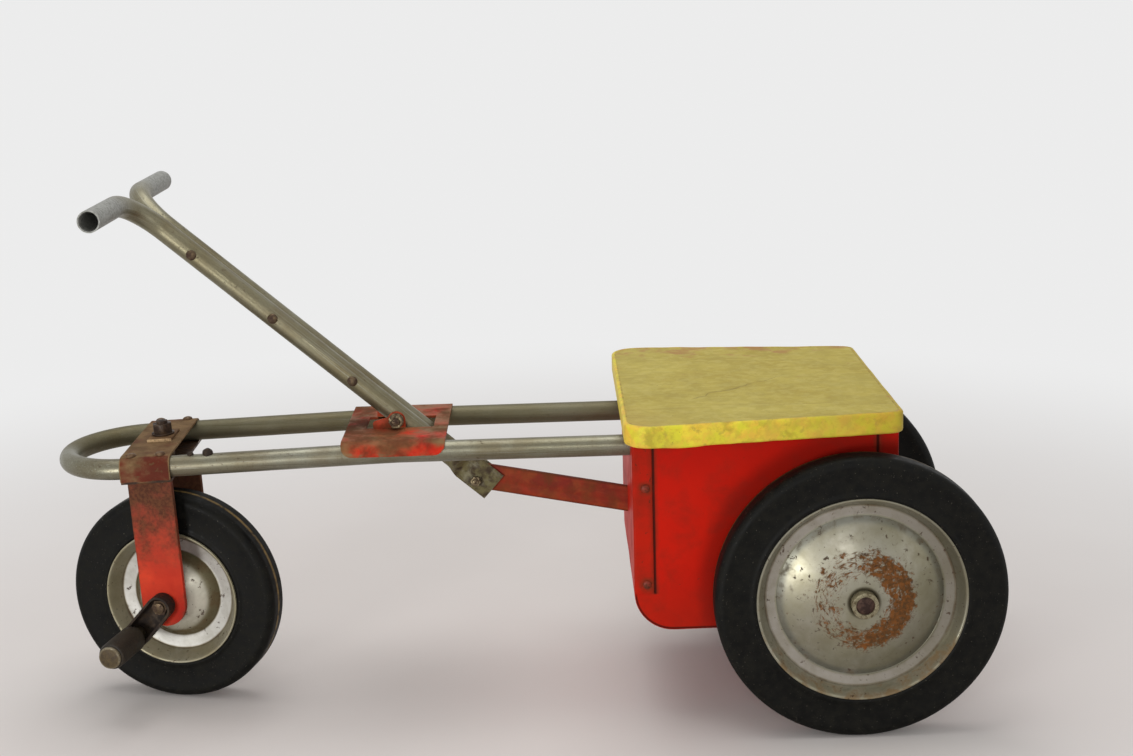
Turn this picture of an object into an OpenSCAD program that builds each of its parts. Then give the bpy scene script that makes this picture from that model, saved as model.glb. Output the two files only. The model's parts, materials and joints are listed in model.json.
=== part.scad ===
/* [Frame] */
// Distance between the front and rear axles
wheelbase = 723; // [690:1:770]
// Outside diameter of the bent frame tube
tube_d = 22; // [18:0.5:25]
// Wall of the frame tube and of the lever tubes
tube_wall = 1.8; // [1.2:0.1:2.5]
// Distance between the centre lines of the two legs of the frame tube
tube_spacing = 144; // [134:1:156]
// Height of the rear stretch of the frame tube above the ground
frame_z = 289; // [280:1:300]
// Downward slope of the frame tube ahead of the lever pivot, in degrees
nose_drop = 1.8; // [0.4:0.2:4]
// Straight tube between the kingpin and the front bend
nose_len = 28; // [28:1:60]
// Gap between the rear ends of the frame tube and the rear wall of the box
tube_end_gap = 14; // [8:1:40]

/* [Fork and steering] */
// Thickness of the saddle that wraps over the frame tube at the fork
saddle_t = 2.5; // [2:0.25:4]
// Length of the fork saddle along the frame
saddle_len = 52; // [46:1:70]
// How far the middle of the fork saddle lies ahead of the kingpin
saddle_lead = 3.4; // [0:0.2:8]
// Thickness of the flat plate under the frame tube at the fork
base_t = 3; // [2:0.5:5]
// Diameter of the kingpin
kingpin_d = 12; // [10:1:16]
// Length of the stiffening plate under the kingpin nut, along the frame
stiffener_len = 26; // [24:1:36]
// Width of the stiffening plate under the kingpin nut
stiffener_w = 44; // [36:1:56]
// Thickness of the steel strap that the fork is bent from
fork_t = 5; // [4:0.5:7]
// Width of the fork strap
fork_w = 50; // [44:1:56]
// Distance between the inner faces of the fork legs
fork_gap = 66; // [64:1:80]
// How far the front axle lies ahead of the kingpin axis
fork_rake = 4; // [0:0.5:10]
// Angle that the parked fork is turned to the right, in degrees
parked_turn = 13; // [-25:1:25]
// Diameter of the front axle
front_axle_d = 12; // [10:1:13]

/* [Footrests] */
// Distance from the front axle to the foot peg
peg_reach = 46; // [40:1:70]
// Angle of the footrest arm below the forward direction, in degrees
peg_angle = 46; // [0:1:70]
// Width of the pressed footrest arm
arm_w = 27; // [26:1:34]
// Depth of the turned rim of the footrest arm
arm_depth = 16; // [13:1:22]
// Sheet thickness of the footrest arm
arm_t = 2.5; // [2:0.5:3.5]
// Diameter of the rubber foot peg
peg_d = 29; // [24:1:36]
// Length of the rubber foot peg
peg_len = 52; // [40:1:80]
// Diameter of the steel cap that closes the foot peg
peg_cap_d = 24; // [20:1:24]
// Diameter of the bolt through the foot peg
peg_bolt_d = 10; // [8:1:12]

/* [Front wheel] */
// Outside diameter of the front tyre
front_tyre_d = 234; // [220:1:244]
// Width of the front tyre
front_tyre_w = 37; // [32:1:40]
// Outside diameter of the front rim flange
front_rim_d = 150; // [142:1:158]
// Width over the two front rim flanges
front_rim_w = 40.4; // [38:0.2:44]

/* [Rear wheels] */
// Outside diameter of the rear tyres
rear_tyre_d = 296; // [286:1:306]
// Width of the rear tyres
rear_tyre_w = 34; // [30:1:38]
// Distance from the side of the box to the middle plane of a rear tyre
wheel_gap = 33.7; // [33:0.1:40]
// Outside diameter of the rear rim flange
rear_rim_d = 212; // [204:1:222]
// Width over the two rear rim flanges
rear_rim_w = 33.2; // [31:0.2:35]
// Diameter of the rear axle
rear_axle_d = 19; // [16:1:20]
// Outside diameter of the rear hub tubes
rear_hub_d = 27; // [25:1:32]
// How far a rear hub tube stands out from the middle plane of its tyre
rear_hub_out = 32; // [29:1:38]
// Thickness of the pressed wheel discs
disc_t = 1.5; // [1:0.1:2]
// Radius of the shoulders of all tyres
shoulder_r = 9; // [6:0.5:12]

/* [Crank and drive rod] */
// Radius of the crank on the rear axle
crank_r = 30; // [26:0.5:31]
// Diameter of the crank pin
crank_pin_d = 12; // [10:0.5:14]
// Width of the crank webs
crank_web_w = 22; // [20:1:23]
// Thickness of the crank webs
crank_web_t = 10; // [8:0.5:14]
// Angle of the parked crank above the rearward direction, in degrees
crank_angle = 10; // [0:1:40]
// Height of the drive rod
rod_h = 28; // [24:1:32]
// Thickness of the drive rod
rod_t = 5; // [4:0.5:6]
// Distance of the rod's eyes below its middle line
rod_eye_drop = 5; // [0:0.5:6]

/* [Lever] */
// Distance of the lever pivot ahead of the rear axle
pivot_back = 470.8; // [450:0.2:490]
// Height of the lever pivot above the top of its bracket
pivot_rise = 8.5; // [8.5:0.5:16]
// Angle of the parked lever above the forward direction, in degrees
lever_angle = 41.3; // [40:0.1:44]
// Distance from the pivot to the middle line of the grips
lever_len = 361; // [340:1:420]
// Distance from the pivot to the drive rod joint
lever_lower = 110; // [104:0.5:116]
// How far the lever tubes' axes stand off the pivot bolt
lever_offset = 3; // [0:0.5:4]
// How far the drive rod joint stands below the line of the pivot
joint_drop = 3.4; // [2:0.2:5]
// Outside diameter of the lever tubes
lever_tube_d = 22; // [18:0.5:24]
// Radius of the bend between a lever tube and its grip
grip_bend_r = 50; // [40:1:60]
// Width over the open ends of the two grips
handle_w = 326; // [280:2:380]
// Distance from the pivot to the lowest rivet that joins the lever tubes
rivet_start = 62; // [50:1:80]
// Distance between neighbouring lever rivets
rivet_pitch = 106; // [80:1:110]
// Length of the flattened end of each lever tube
flat_len = 38; // [34:1:46]
// Length over which each lever tube flattens
flatten_len = 17; // [12:1:24]
// Diameter of the lever pivot bolt
pivot_bolt_d = 8; // [6:1:10]
// Diameter of the bolt of the drive rod joint
joint_bolt_d = 6; // [5:1:8]

/* [Lever bracket] */
// Reach of the lever bracket ahead of the pivot
bracket_front = 54; // [46:1:70]
// Reach of the lever bracket behind the pivot
bracket_back = 54; // [46:1:70]
// Reach of the lever slot ahead of the pivot
slot_front = 33; // [20:1:40]
// Reach of the lever slot behind the pivot
slot_back = 39; // [38:1:46]
// Radius of the lower corners of the lever bracket
bracket_corner_r = 12; // [6:1:13]

/* [Seat box] */
// Distance of the box's front wall ahead of the rear axle
box_front = 226; // [200:1:260]
// Distance of the box's rear wall behind the rear axle
box_back = 44; // [44:1:60]
// Width over the box
box_w = 250; // [240:1:280]
// Distance of the box's bottom below the rear axle
box_drop = 44; // [44:1:60]
// Radius of the box's lower corners
box_corner_r = 40; // [30:1:44]
// Thickness of the box sheet
sheet_t = 1.2; // [0.8:0.1:2]
// Width of the box flanges that lap over the side panels
lap_w = 20; // [16:1:28]
// Width of the slot in the box's front wall for the drive rod
rod_slot_w = 12; // [10:1:20]
// Room above the parked drive rod in its slot
rod_slot_above = 6; // [4:1:12]
// Room below the parked drive rod in its slot
rod_slot_below = 38; // [34:1:48]

/* [Seat] */
// Thickness of the seat board
seat_t = 23; // [18:1:26]
// Reach of the seat board ahead of the box's front wall
seat_over_front = 9; // [0:1:20]
// Width of the seat board at its front
seat_front_w = 371; // [330:1:380]
// Width of the seat board at its rear
seat_rear_w = 307; // [280:1:350]
// Radius of the front corners of the seat board
seat_front_r = 24; // [8:1:32]
// Radius of the rear corners of the seat board
seat_rear_r = 12; // [6:1:30]
// Width of the wooden battens under the seat board
batten_w = 30; // [26:1:40]
// Thickness of the wooden battens between the frame tube and the seat board
batten_t = 14; // [13:1:20]

/* [Hidden] */
$fn = 96;

// Fits and clearances
turn_fit = 0.05;
play = 0.3;
eps = 0.01;

// Frame layout, measured from the rear axle unless a comment says otherwise
tube_r = tube_d / 2;
half_gap = tube_spacing / 2;
rear_r = rear_tyre_d / 2;
front_r = front_tyre_d / 2;
front_lean = asin(sin(nose_drop) * abs(sin(parked_turn)));
front_axle_z = (front_r - shoulder_r) * cos(front_lean) + shoulder_r
    + (front_tyre_w / 2 - shoulder_r) * sin(front_lean);
kink_step = 0.1;
nose_dx = wheelbase - pivot_back;
nose_dz = frame_z - front_axle_z;
king_dist = nose_dx * cos(nose_drop) + nose_dz * sin(nose_drop) - fork_rake;
fork_drop = nose_dz * cos(nose_drop) - nose_dx * sin(nose_drop);
bend_dist = king_dist + nose_len;
front_turn = abs(sin(parked_turn)) * cos(nose_drop);
tyre_front = wheelbase + (front_r - shoulder_r) * sqrt(1 - front_turn * front_turn) + shoulder_r
    + (front_tyre_w / 2 - shoulder_r) * front_turn;
tube_front = pivot_back + (bend_dist + half_gap) * cos(nose_drop) + tube_r;
rear_x = (max(tube_front, tyre_front) - rear_r) / 2;

// Saddle and fork heights, measured from the tube's centre line
saddle_top = tube_r + saddle_t;
stiffener_t = 3;
stiffener_top = saddle_top + stiffener_t;
washer_t = 2;
base_bottom = -tube_r - base_t;
crown_top = base_bottom - washer_t - 2 * play;
crown_bottom = crown_top - fork_t;
kingpin_nut_t = 10;
nut_bottom = stiffener_top + play + washer_t;
saddle_mid = -saddle_lead;
rivet_dx = 15;
rivet_d = 6;
rivet_head_d = 11;
rivet_head_t = 3;
bush_wall = 4.2;
kingpin_head_t = 6;
kingpin_head_d = kingpin_d + 7.2;
kingpin_nut_d = kingpin_d + 9.6;
kingpin_end = 3;

// Screws left on the near tube: distance behind the kingpin, shank, head width and head height
big_screw = [61, 5, 11, 6];
small_screw = [43, 3, 7, 3.5];
accessory_depth = 3;

// Fork, axle and footrests, measured along the front axle from its middle
leg_in = fork_gap / 2;
leg_out = leg_in + fork_t;
front_hub_half = 28;
front_hub_d = 24;
front_nut_t = 9;
front_nut_d = front_axle_d + 6.6;
front_spacer_d = 20;
front_axle_end = 2;
front_axle_half = leg_out + arm_t + front_nut_t + front_axle_end;
peg_gap = 1;
peg_start = leg_out + arm_depth + peg_gap;
peg_end = peg_start + peg_len;
peg_cap_t = 4;
peg_collar_d = 18;
peg_head_d = 16;
peg_head_t = 3;

// Wheel disc profiles: radius and distance from the middle plane
front_cone_w = 17;
front_cone_depth = 16.6;
front_flat_w = 14;
front_well_r = front_rim_d / 2 - front_cone_w;
front_well_t = front_rim_w / 2 - front_cone_depth;
front_flat_r = front_well_r - front_flat_w;
front_flat_t = disc_t;
front_dome_h = 25;
rear_cone_w = 10;
rear_cone_depth = 13.8;
rear_flat_w = 11.5;
rear_well_r = rear_rim_d / 2 - rear_cone_w;
rear_well_t = rear_rim_w / 2 - rear_cone_depth;
rear_flat_r = rear_well_r - rear_flat_w;
rear_flat_t = disc_t;
rear_dome_h = 22.5;
rear_mid = box_w / 2 + wheel_gap;

// Seat box heights and stations
box_half = box_w / 2;
box_z = rear_r - box_drop;
panel_out = box_half - sheet_t;
panel_in = panel_out - sheet_t;
tube_top = frame_z + tube_r;
seat_bottom = tube_top + batten_t;
batten_front_in = 46;
batten_rear_in = 49;
batten_front_x = -box_front + batten_front_in;
batten_rear_x = box_back - batten_rear_in;
lip_w = 16;
lip_gap = 2;
batten_half = panel_out - lip_w - lip_gap;
screw_d = 5;
screw_head_d = 9;
screw_head_t = 2.5;
screw_bite = 12;
clip_t = 2;
clip_w = 16;
clip_foot = 14;
box_rivet_d = 4;
box_rivet_head_d = 9;
box_rivet_head_t = 2;
box_rivet_edge = 13;
lap_low = box_z + box_corner_r;
box_rivet_up = 10;
box_rivet_low = lap_low + box_rivet_up;
box_rivet_pitch = 103;
box_rivet_high = box_rivet_low + box_rivet_pitch;
lip_screw_front = 30;
lip_screw_rear = 26;
lip_screw_in = 8;
batten_screw_y = 30;

// Rear axle stations along y
bush_d = 28;
bush_flange_d = 48;
bush_flange_t = 3;
bush_stand_out = 5;
bush_out = panel_out + bush_stand_out;
bush_len = 15;
bush_rivet_in = 5;
bush_rivet_head_d = 7;
bush_rivet_head_t = 1.5;
rear_washer_t = 2;
rear_washer_d = 34;
hub_in = bush_out + rear_washer_t + 2 * play;
hub_out = rear_mid + rear_hub_out;
axle_recess = 2;
cap_t = 6;
cap_d = 26;
web_gap = 3.5;
web_in = rod_t / 2 + web_gap;
web_out = web_in + crank_web_t;
pin_gap = 0.5;
drive_pin_y = rear_mid;
drive_pin_d = 5;
drive_pin_out = 2;

// Lever pivot height and lever stations: z runs up the lever, x stands off it to the rear
pivot_z = frame_z + saddle_top + pivot_rise;
lever_r = lever_tube_d / 2;
ear_clear = 1.5;
ear_gap = lever_tube_d + ear_clear;
ear_out = ear_gap + saddle_t;
ear_r = 9.5;
ear_front = 25;
pivot_washer_t = 1.5;
pivot_washer_d = 16;
pivot_nut_t = 6.5;
pivot_nut_d = 15;
pivot_head_t = 5.5;
bolt_end = 2.5;
flat_below = 20;
flat_bottom = -lever_lower - flat_below;
flat_top = flat_bottom + flat_len;
round_bottom = flat_top + flatten_len;
flat_w = 1.5 * lever_tube_d;
flat_clear = 0.5;
flat_in = rod_t / 2 + flat_clear;
flat_t = 2 * tube_wall;
joint_nut_t = 5;
joint_nut_d = 11.5;
joint_head_t = 4;
spare_hole = [12.5, -12];
bend_start = lever_len - grip_bend_r;
grip_start = lever_r + grip_bend_r;

// Drive rod joint, crank pin and rod line
joint_x = -pivot_back + lever_lower * cos(lever_angle) - joint_drop * sin(lever_angle);
joint_z = pivot_z - lever_lower * sin(lever_angle) - joint_drop * cos(lever_angle);
pin_dx = crank_r * cos(crank_angle) - joint_x;
pin_dz = rear_r + crank_r * sin(crank_angle) - joint_z;
rod_len = norm([pin_dx, pin_dz]);
rod_angle = atan2(-pin_dz, pin_dx);
rod_eye_d = 20;
rod_front_r = rod_h / 2 - rod_eye_drop;
rod_taper = 60;
rod_eye_arc = 80;
rod_wall_z = joint_z - (-box_front - joint_x) * tan(rod_angle) + rod_eye_drop / cos(rod_angle);
rod_half_h = rod_h / cos(rod_angle) / 2;

function unit(v) = v / norm(v);
function wrap(a) = a > 180 ? a - 360 : a < -180 ? a + 360 : a;

// Points of one rounded corner at p, between its neighbours a and b
function corner(a, p, b, r, n) =
    let (u = unit(a - p), v = unit(b - p), half = acos(u * v) / 2,
        c = p + unit(u + v) * r / sin(half),
        s = p + u * r / tan(half) - c, e = p + v * r / tan(half) - c,
        start = atan2(s.y, s.x), turn = wrap(atan2(e.y, e.x) - start))
    [for (i = [0 : n]) c + r * [cos(start + turn * i / n), sin(start + turn * i / n)]];

// A closed outline with every corner rounded to its own radius
function rounded(p, r, n = 10) =
    let (m = len(p)) [for (i = [0 : m - 1]) each corner(p[(i + m - 1) % m], p[i], p[(i + 1) % m], r[i], n)];

function arc(c, r, a, b, n = 8) =
    [for (i = [0 : n]) c + r * [cos(a + (b - a) * i / n), sin(a + (b - a) * i / n)]];

// Local frames of the sub-assemblies
module at_rear() translate([rear_x, 0, 0]) children();
module nose() at_rear() translate([-pivot_back, 0, frame_z]) rotate([0, -nose_drop, 0]) children();
module at_kingpin() nose() translate([-king_dist, 0, 0]) children();
module steered() at_kingpin() rotate([0, 0, -parked_turn]) children();
module front_axis() steered() translate([-fork_rake, 0, -fork_drop]) children();
module rear_axis() at_rear() translate([0, 0, rear_r]) children();
module lever_frame()
    at_rear() translate([-pivot_back, 0, pivot_z]) rotate([0, lever_angle - 90, 0]) children();
module joint_frame() lever_frame() translate([-joint_drop, 0, -lever_lower]) children();
module rod_frame() at_rear() translate([joint_x, 0, joint_z]) rotate([0, rod_angle, 0]) children();

// A cylinder or ring along y from station a to station b
module along_y(a, b, d) translate([0, a, 0]) rotate([-90, 0, 0]) cylinder(d = d, h = b - a);
module ring_y(a, b, d, bore) difference() {
    along_y(a, b, d);
    along_y(min(a, b) - 1, max(a, b) + 1, bore);
}
module hex_y(a, b, d) translate([0, a, 0]) rotate([-90, 0, 0]) cylinder(d = d, h = b - a, $fn = 6);
module side(s) if (s < 0) children(); else mirror([0, 1, 0]) children();
module both_sides() for (s = [-1, 1]) side(s) children();

// A domed head that stands on z = 0
module dome_head(d, h) {
    ball = (d * d / 4 + h * h) / (2 * h);
    intersection() {
        translate([0, 0, h - ball]) sphere(r = ball);
        cylinder(d = d, h = h);
    }
}

// Frame. Two level legs end square at the kink; the hairpin in front of it is drawn a touch thinner
module tube_run(r, extra) at_rear() translate([-pivot_back, 0, frame_z]) {
    nose_r = r - kink_step;
    for (y = [-half_gap, half_gap]) translate([0, y, 0]) rotate([0, 90, 0])
        cylinder(r = r, h = pivot_back + box_back - tube_end_gap + extra);
    intersection() {
        rotate([0, -nose_drop, 0]) translate([-bend_dist, 0, 0]) {
            for (y = [-half_gap, half_gap]) translate([0, y, 0]) rotate([0, 90, 0])
                cylinder(r = nose_r, h = bend_dist + tube_d);
            rotate([0, 0, 90]) rotate_extrude(angle = 180) translate([half_gap, 0]) circle(r = nose_r);
        }
        translate([-2 * bend_dist, -bend_dist, -bend_dist]) cube(2 * bend_dist);
    }
}
module saddle_rivet_places() for (x = [-rivet_dx, rivet_dx], y = [-half_gap, half_gap])
    at_kingpin() translate([saddle_mid + x, y, 0]) children();
module accessory_places() {
    at_kingpin() translate([big_screw[0], -half_gap, 0]) children(0);
    at_kingpin() translate([small_screw[0], -half_gap, 0]) children(1);
}
module frame_tube() color("#75745f") difference() {
    tube_run(tube_r, 0);
    tube_run(tube_r - tube_wall, 1);
    saddle_rivet_places() cylinder(d = rivet_d, h = 2 * tube_d, center = true);
    accessory_places() {
        cylinder(d = big_screw[1], h = tube_d);
        cylinder(d = small_screw[1], h = tube_d);
    }
}
module domed_screw(sizes) {
    translate([0, 0, tube_r - accessory_depth]) cylinder(d = sizes[1], h = accessory_depth + sizes[3] / 3);
    translate([0, 0, tube_r]) dome_head(sizes[2], sizes[3]);
}
module accessory_screws() color("#2e2a24") accessory_places() {
    domed_screw(big_screw);
    domed_screw(small_screw);
}

// Fork bracket
module saddle_profile(flange) {
    translate([-half_gap, tube_r]) square([tube_spacing, saddle_t]);
    for (s = [-1, 1]) {
        intersection() {
            translate([s * half_gap, 0]) difference() {
                circle(r = saddle_top);
                circle(r = tube_r);
            }
            translate([s > 0 ? half_gap : -half_gap - saddle_top, 0]) square(saddle_top);
        }
        translate([s > 0 ? half_gap + tube_r : -half_gap - saddle_top, -flange]) square([saddle_t, flange]);
    }
}
module saddle(length, flange) rotate([90, 0, 90]) linear_extrude(length) saddle_profile(flange);
module fork_bracket() color("#6e3b2c") difference() {
    at_kingpin() translate([saddle_mid - saddle_len / 2, 0, 0]) saddle(saddle_len, tube_r);
    at_kingpin() cylinder(d = kingpin_d + 2 * turn_fit, h = 2 * saddle_top);
    saddle_rivet_places() cylinder(d = rivet_d, h = 2 * saddle_top);
}
module bracket_base() color("#5d3226") difference() {
    at_kingpin() translate([saddle_mid - saddle_len / 2, -half_gap - tube_r, base_bottom])
        cube([saddle_len, tube_spacing + tube_d, base_t]);
    at_kingpin() translate([0, 0, 2 * base_bottom]) cylinder(d = kingpin_d + 2 * turn_fit, h = tube_d);
    saddle_rivet_places() translate([0, 0, 2 * base_bottom]) cylinder(d = rivet_d, h = tube_d);
}
module kingpin_bush() color("#4f4a40") at_kingpin() difference() {
    translate([0, 0, -tube_r]) cylinder(d = kingpin_d + 2 * bush_wall, h = tube_d);
    cylinder(d = kingpin_d + 2 * turn_fit, h = 2 * tube_d, center = true);
}
module kingpin_plate() color("#5a4a38") at_kingpin() difference() {
    translate([-stiffener_len / 2, -stiffener_w / 2, saddle_top])
        cube([stiffener_len, stiffener_w, stiffener_t]);
    cylinder(d = kingpin_d + 2 * turn_fit, h = 2 * stiffener_top);
}
module bracket_rivets() color("#3a2a20") saddle_rivet_places() {
    translate([0, 0, base_bottom]) cylinder(d = rivet_d, h = saddle_top - base_bottom);
    translate([0, 0, saddle_top]) dome_head(rivet_head_d, rivet_head_t);
    translate([0, 0, base_bottom]) mirror([0, 0, 1]) dome_head(rivet_head_d, rivet_head_t);
}

// Fork
module fork() color("#a8402c") {
    front_axis() both_sides() difference() {
        union() {
            along_y(-leg_out, -leg_in, fork_w);
            translate([-fork_w / 2, -leg_out, 0]) cube([fork_w, fork_t, fork_drop + crown_top]);
        }
        along_y(-leg_out - 1, -leg_in + 1, front_axle_d);
    }
    steered() difference() {
        translate([-fork_rake - fork_w / 2, -leg_out, crown_bottom]) cube([fork_w, 2 * leg_out, fork_t]);
        translate([0, 0, crown_bottom - 1]) cylinder(d = kingpin_d, h = fork_t + 2);
    }
}
module kingpin() color("#4a4034") steered() {
    translate([0, 0, crown_bottom])
        cylinder(d = kingpin_d, h = nut_bottom + kingpin_nut_t + kingpin_end - crown_bottom);
    translate([0, 0, crown_bottom - kingpin_head_t]) cylinder(d = kingpin_head_d, h = kingpin_head_t);
}
module kingpin_nut() color("#3c342a") steered() translate([0, 0, nut_bottom]) difference() {
    cylinder(d = kingpin_nut_d, h = kingpin_nut_t, $fn = 6);
    translate([0, 0, -1]) cylinder(d = kingpin_d, h = kingpin_nut_t + 2);
}
module flat_washer(z, d, bore) translate([0, 0, z]) difference() {
    cylinder(d = d, h = washer_t);
    translate([0, 0, -1]) cylinder(d = bore, h = washer_t + 2);
}
module kingpin_washers() color("#51483a") steered() {
    flat_washer(nut_bottom - washer_t, 2 * kingpin_d, kingpin_d);
    flat_washer(crown_top, 2.6 * kingpin_d, kingpin_d);
}
module front_axle() color("#5b5648") front_axis() along_y(-front_axle_half, front_axle_half, front_axle_d);
module front_axle_nuts() color("#4b463a") front_axis() both_sides() difference() {
    hex_y(-leg_out - arm_t - front_nut_t, -leg_out - arm_t, front_nut_d);
    along_y(-front_axle_half - 1, 0, front_axle_d);
}
module front_spacers() color("#5b5648") front_axis() both_sides()
    ring_y(-leg_in, -front_hub_half - play, front_spacer_d, front_axle_d);

// Pressed footrest arm: a flat web with its rim turned out to the side
module arm_outline(r) {
    circle(r = r);
    translate([-peg_reach, 0]) circle(r = r);
    translate([-peg_reach, -r]) square([peg_reach, 2 * r]);
}
module to_arm() rotate([0, -peg_angle, 0]) children();
module arm_frame(s) front_axis() side(s) to_arm() translate([0, -leg_out, 0]) rotate([90, 0, 0]) children();
module footrest(s) arm_frame(s) difference() {
    linear_extrude(arm_depth) arm_outline(arm_w / 2);
    translate([0, 0, arm_t]) linear_extrude(arm_depth) arm_outline(arm_w / 2 - arm_t);
    translate([0, 0, -1]) cylinder(d = front_axle_d, h = arm_t + 2);
    translate([-peg_reach, 0, -1]) cylinder(d = peg_bolt_d, h = arm_t + 2);
}
module peg_axis(s) front_axis() side(s) to_arm() translate([-peg_reach, 0, 0]) children();
module peg_rubber(s) peg_axis(s) ring_y(-peg_end, -peg_start, peg_d, peg_bolt_d);
module peg_bolt(s) peg_axis(s) {
    along_y(-peg_end, -leg_out, peg_bolt_d);
    along_y(-peg_end - peg_cap_t, -peg_end, peg_cap_d);
    along_y(-peg_start, -leg_out - arm_t, peg_collar_d);
    along_y(-leg_out, -leg_out + peg_head_t, peg_head_d);
}
module footrest_left() color("#3a2f28") footrest(-1);
module footrest_right() color("#3a2f28") footrest(1);
module peg_rubber_left() color("#232120") peg_rubber(-1);
module peg_rubber_right() color("#232120") peg_rubber(1);
module peg_bolt_left() color("#6b6353") peg_bolt(-1);
module peg_bolt_right() color("#6b6353") peg_bolt(1);

// Wheels
function dome_pts(base_r, base_t, height, hub_r, n = 14) =
    let (ball = (base_r * base_r + height * height) / (2 * height))
    [for (i = [0 : n]) let (r = base_r + (hub_r - base_r) * i / n)
        [r, base_t + height - ball + sqrt(ball * ball - r * r)]];
function disc_face(rim_r, rim_t, well_r, well_t, flat_r, flat_t, height, hub_r) = concat(
    [[rim_r, rim_t - 0.8], [rim_r - 0.6, rim_t], [rim_r - 1.4, rim_t - 0.3]],
    [[well_r, well_t], [flat_r + 1.5, flat_t]], dome_pts(flat_r, flat_t, height, hub_r));
function shifted(p, t) = [for (q = p) [q.x, q.y - t]];
function reversed(p) = [for (i = [len(p) - 1 : -1 : 0]) p[i]];
module disc(face) rotate([90, 0, 0]) rotate_extrude() polygon(concat(face, reversed(shifted(face, disc_t))));

// Tyre section: a wedge foot between the flanges, straight sides and round shoulders
module tyre_section(tyre_r, half_w, rim_r, rim_t, well_r, well_t) {
    slope = (rim_t - well_t) / (rim_r - well_r);
    foot_r = well_r + 1.5;
    foot_t = well_t - disc_t + slope * (foot_r - well_r);
    lip_t = rim_t - disc_t - slope * 2;
    right = concat([[foot_r, foot_t], [rim_r - 2, lip_t], [rim_r + 0.4, lip_t], [rim_r + 3, half_w]],
        arc([tyre_r - shoulder_r, half_w - shoulder_r], shoulder_r, 90, 0));
    left = [for (q = reversed(right)) [q.x, -q.y]];
    polygon(concat(right, left));
}
module tyre(tyre_d, tyre_w, rim_d, rim_w, well_r, well_t) rotate([90, 0, 0]) rotate_extrude()
    tyre_section(tyre_d / 2, tyre_w / 2, rim_d / 2, rim_w / 2, well_r, well_t);

front_face = disc_face(front_rim_d / 2, front_rim_w / 2, front_well_r, front_well_t, front_flat_r,
    front_flat_t, front_dome_h, front_hub_d / 2);
rear_face = disc_face(rear_rim_d / 2, rear_rim_w / 2, rear_well_r, rear_well_t, rear_flat_r,
    rear_flat_t, rear_dome_h, rear_hub_d / 2);

module front_tyre() color("#202224") front_axis()
    tyre(front_tyre_d, front_tyre_w, front_rim_d, front_rim_w, front_well_r, front_well_t);
module front_disc_left() color("#a9a89c") front_axis() disc(front_face);
module front_disc_right() color("#a9a89c") front_axis() mirror([0, 1, 0]) disc(front_face);
module front_hub() color("#8d8a7c") front_axis()
    ring_y(-front_hub_half, front_hub_half, front_hub_d, front_axle_d + 2 * turn_fit);

module rear_tyre(s) color("#1c1e1f") rear_axis() translate([0, s * rear_mid, 0])
    tyre(rear_tyre_d, rear_tyre_w, rear_rim_d, rear_rim_w, rear_well_r, rear_well_t);
module rear_disc(s, out) color("#a9a89c") rear_axis() translate([0, s * rear_mid, 0])
    side(s * out) disc(rear_face);
module rear_tyre_left() rear_tyre(-1);
module rear_tyre_right() rear_tyre(1);
module rear_disc_left_outer() rear_disc(-1, 1);
module rear_disc_left_inner() rear_disc(-1, -1);
module rear_disc_right_outer() rear_disc(1, 1);
module rear_disc_right_inner() rear_disc(1, -1);
module rear_hub_left() color("#8d8a7c") rear_axis() difference() {
    ring_y(-hub_out, -hub_in, rear_hub_d, rear_axle_d);
    translate([0, -drive_pin_y, 0]) cylinder(d = drive_pin_d, h = 2 * rear_hub_d, center = true);
}
module rear_hub_right() color("#8d8a7c") rear_axis()
    ring_y(hub_in, hub_out - cap_t, rear_hub_d, rear_axle_d + 2 * turn_fit);

// Rear axle and crank
module rear_axle_left() color("#6f6a5c") rear_axis() difference() {
    along_y(-hub_out + axle_recess, -web_in, rear_axle_d);
    translate([0, -drive_pin_y, 0]) cylinder(d = drive_pin_d, h = 2 * rear_hub_d, center = true);
}
module rear_axle_right() color("#6f6a5c") rear_axis() along_y(web_in, hub_out - axle_recess, rear_axle_d);
module crank_web() rear_axis() rotate([0, -crank_angle, 0]) {
    difference() {
        union() {
            along_y(-web_out, -web_in, crank_web_w);
            translate([crank_r, 0, 0]) along_y(-web_out, -web_in, crank_web_w);
            translate([0, -web_out, -crank_web_w / 2]) cube([crank_r, crank_web_t, crank_web_w]);
        }
        along_y(-web_out - 1, -web_in + 1, rear_axle_d);
    }
    translate([crank_r, 0, 0]) along_y(-web_in - 1, -rod_t / 2 - pin_gap, crank_pin_d);
}
module crank_web_left() color("#5e5a4e") crank_web();
module crank_web_right() color("#5e5a4e") mirror([0, 1, 0]) crank_web();
module drive_pin() color("#5a5548") rear_axis() translate([0, -drive_pin_y, 0])
    cylinder(d = drive_pin_d, h = rear_hub_d + 2 * drive_pin_out, center = true);
module axle_cap() color("#8c8574") rear_axis() difference() {
    along_y(hub_out - cap_t + play, hub_out, cap_d);
    along_y(hub_out - cap_t, hub_out - axle_recess, rear_axle_d);
}
module rear_washers() color("#7b7566") both_sides() rear_axis()
    ring_y(-hub_in + play, -bush_out - play, rear_washer_d, rear_axle_d);

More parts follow.
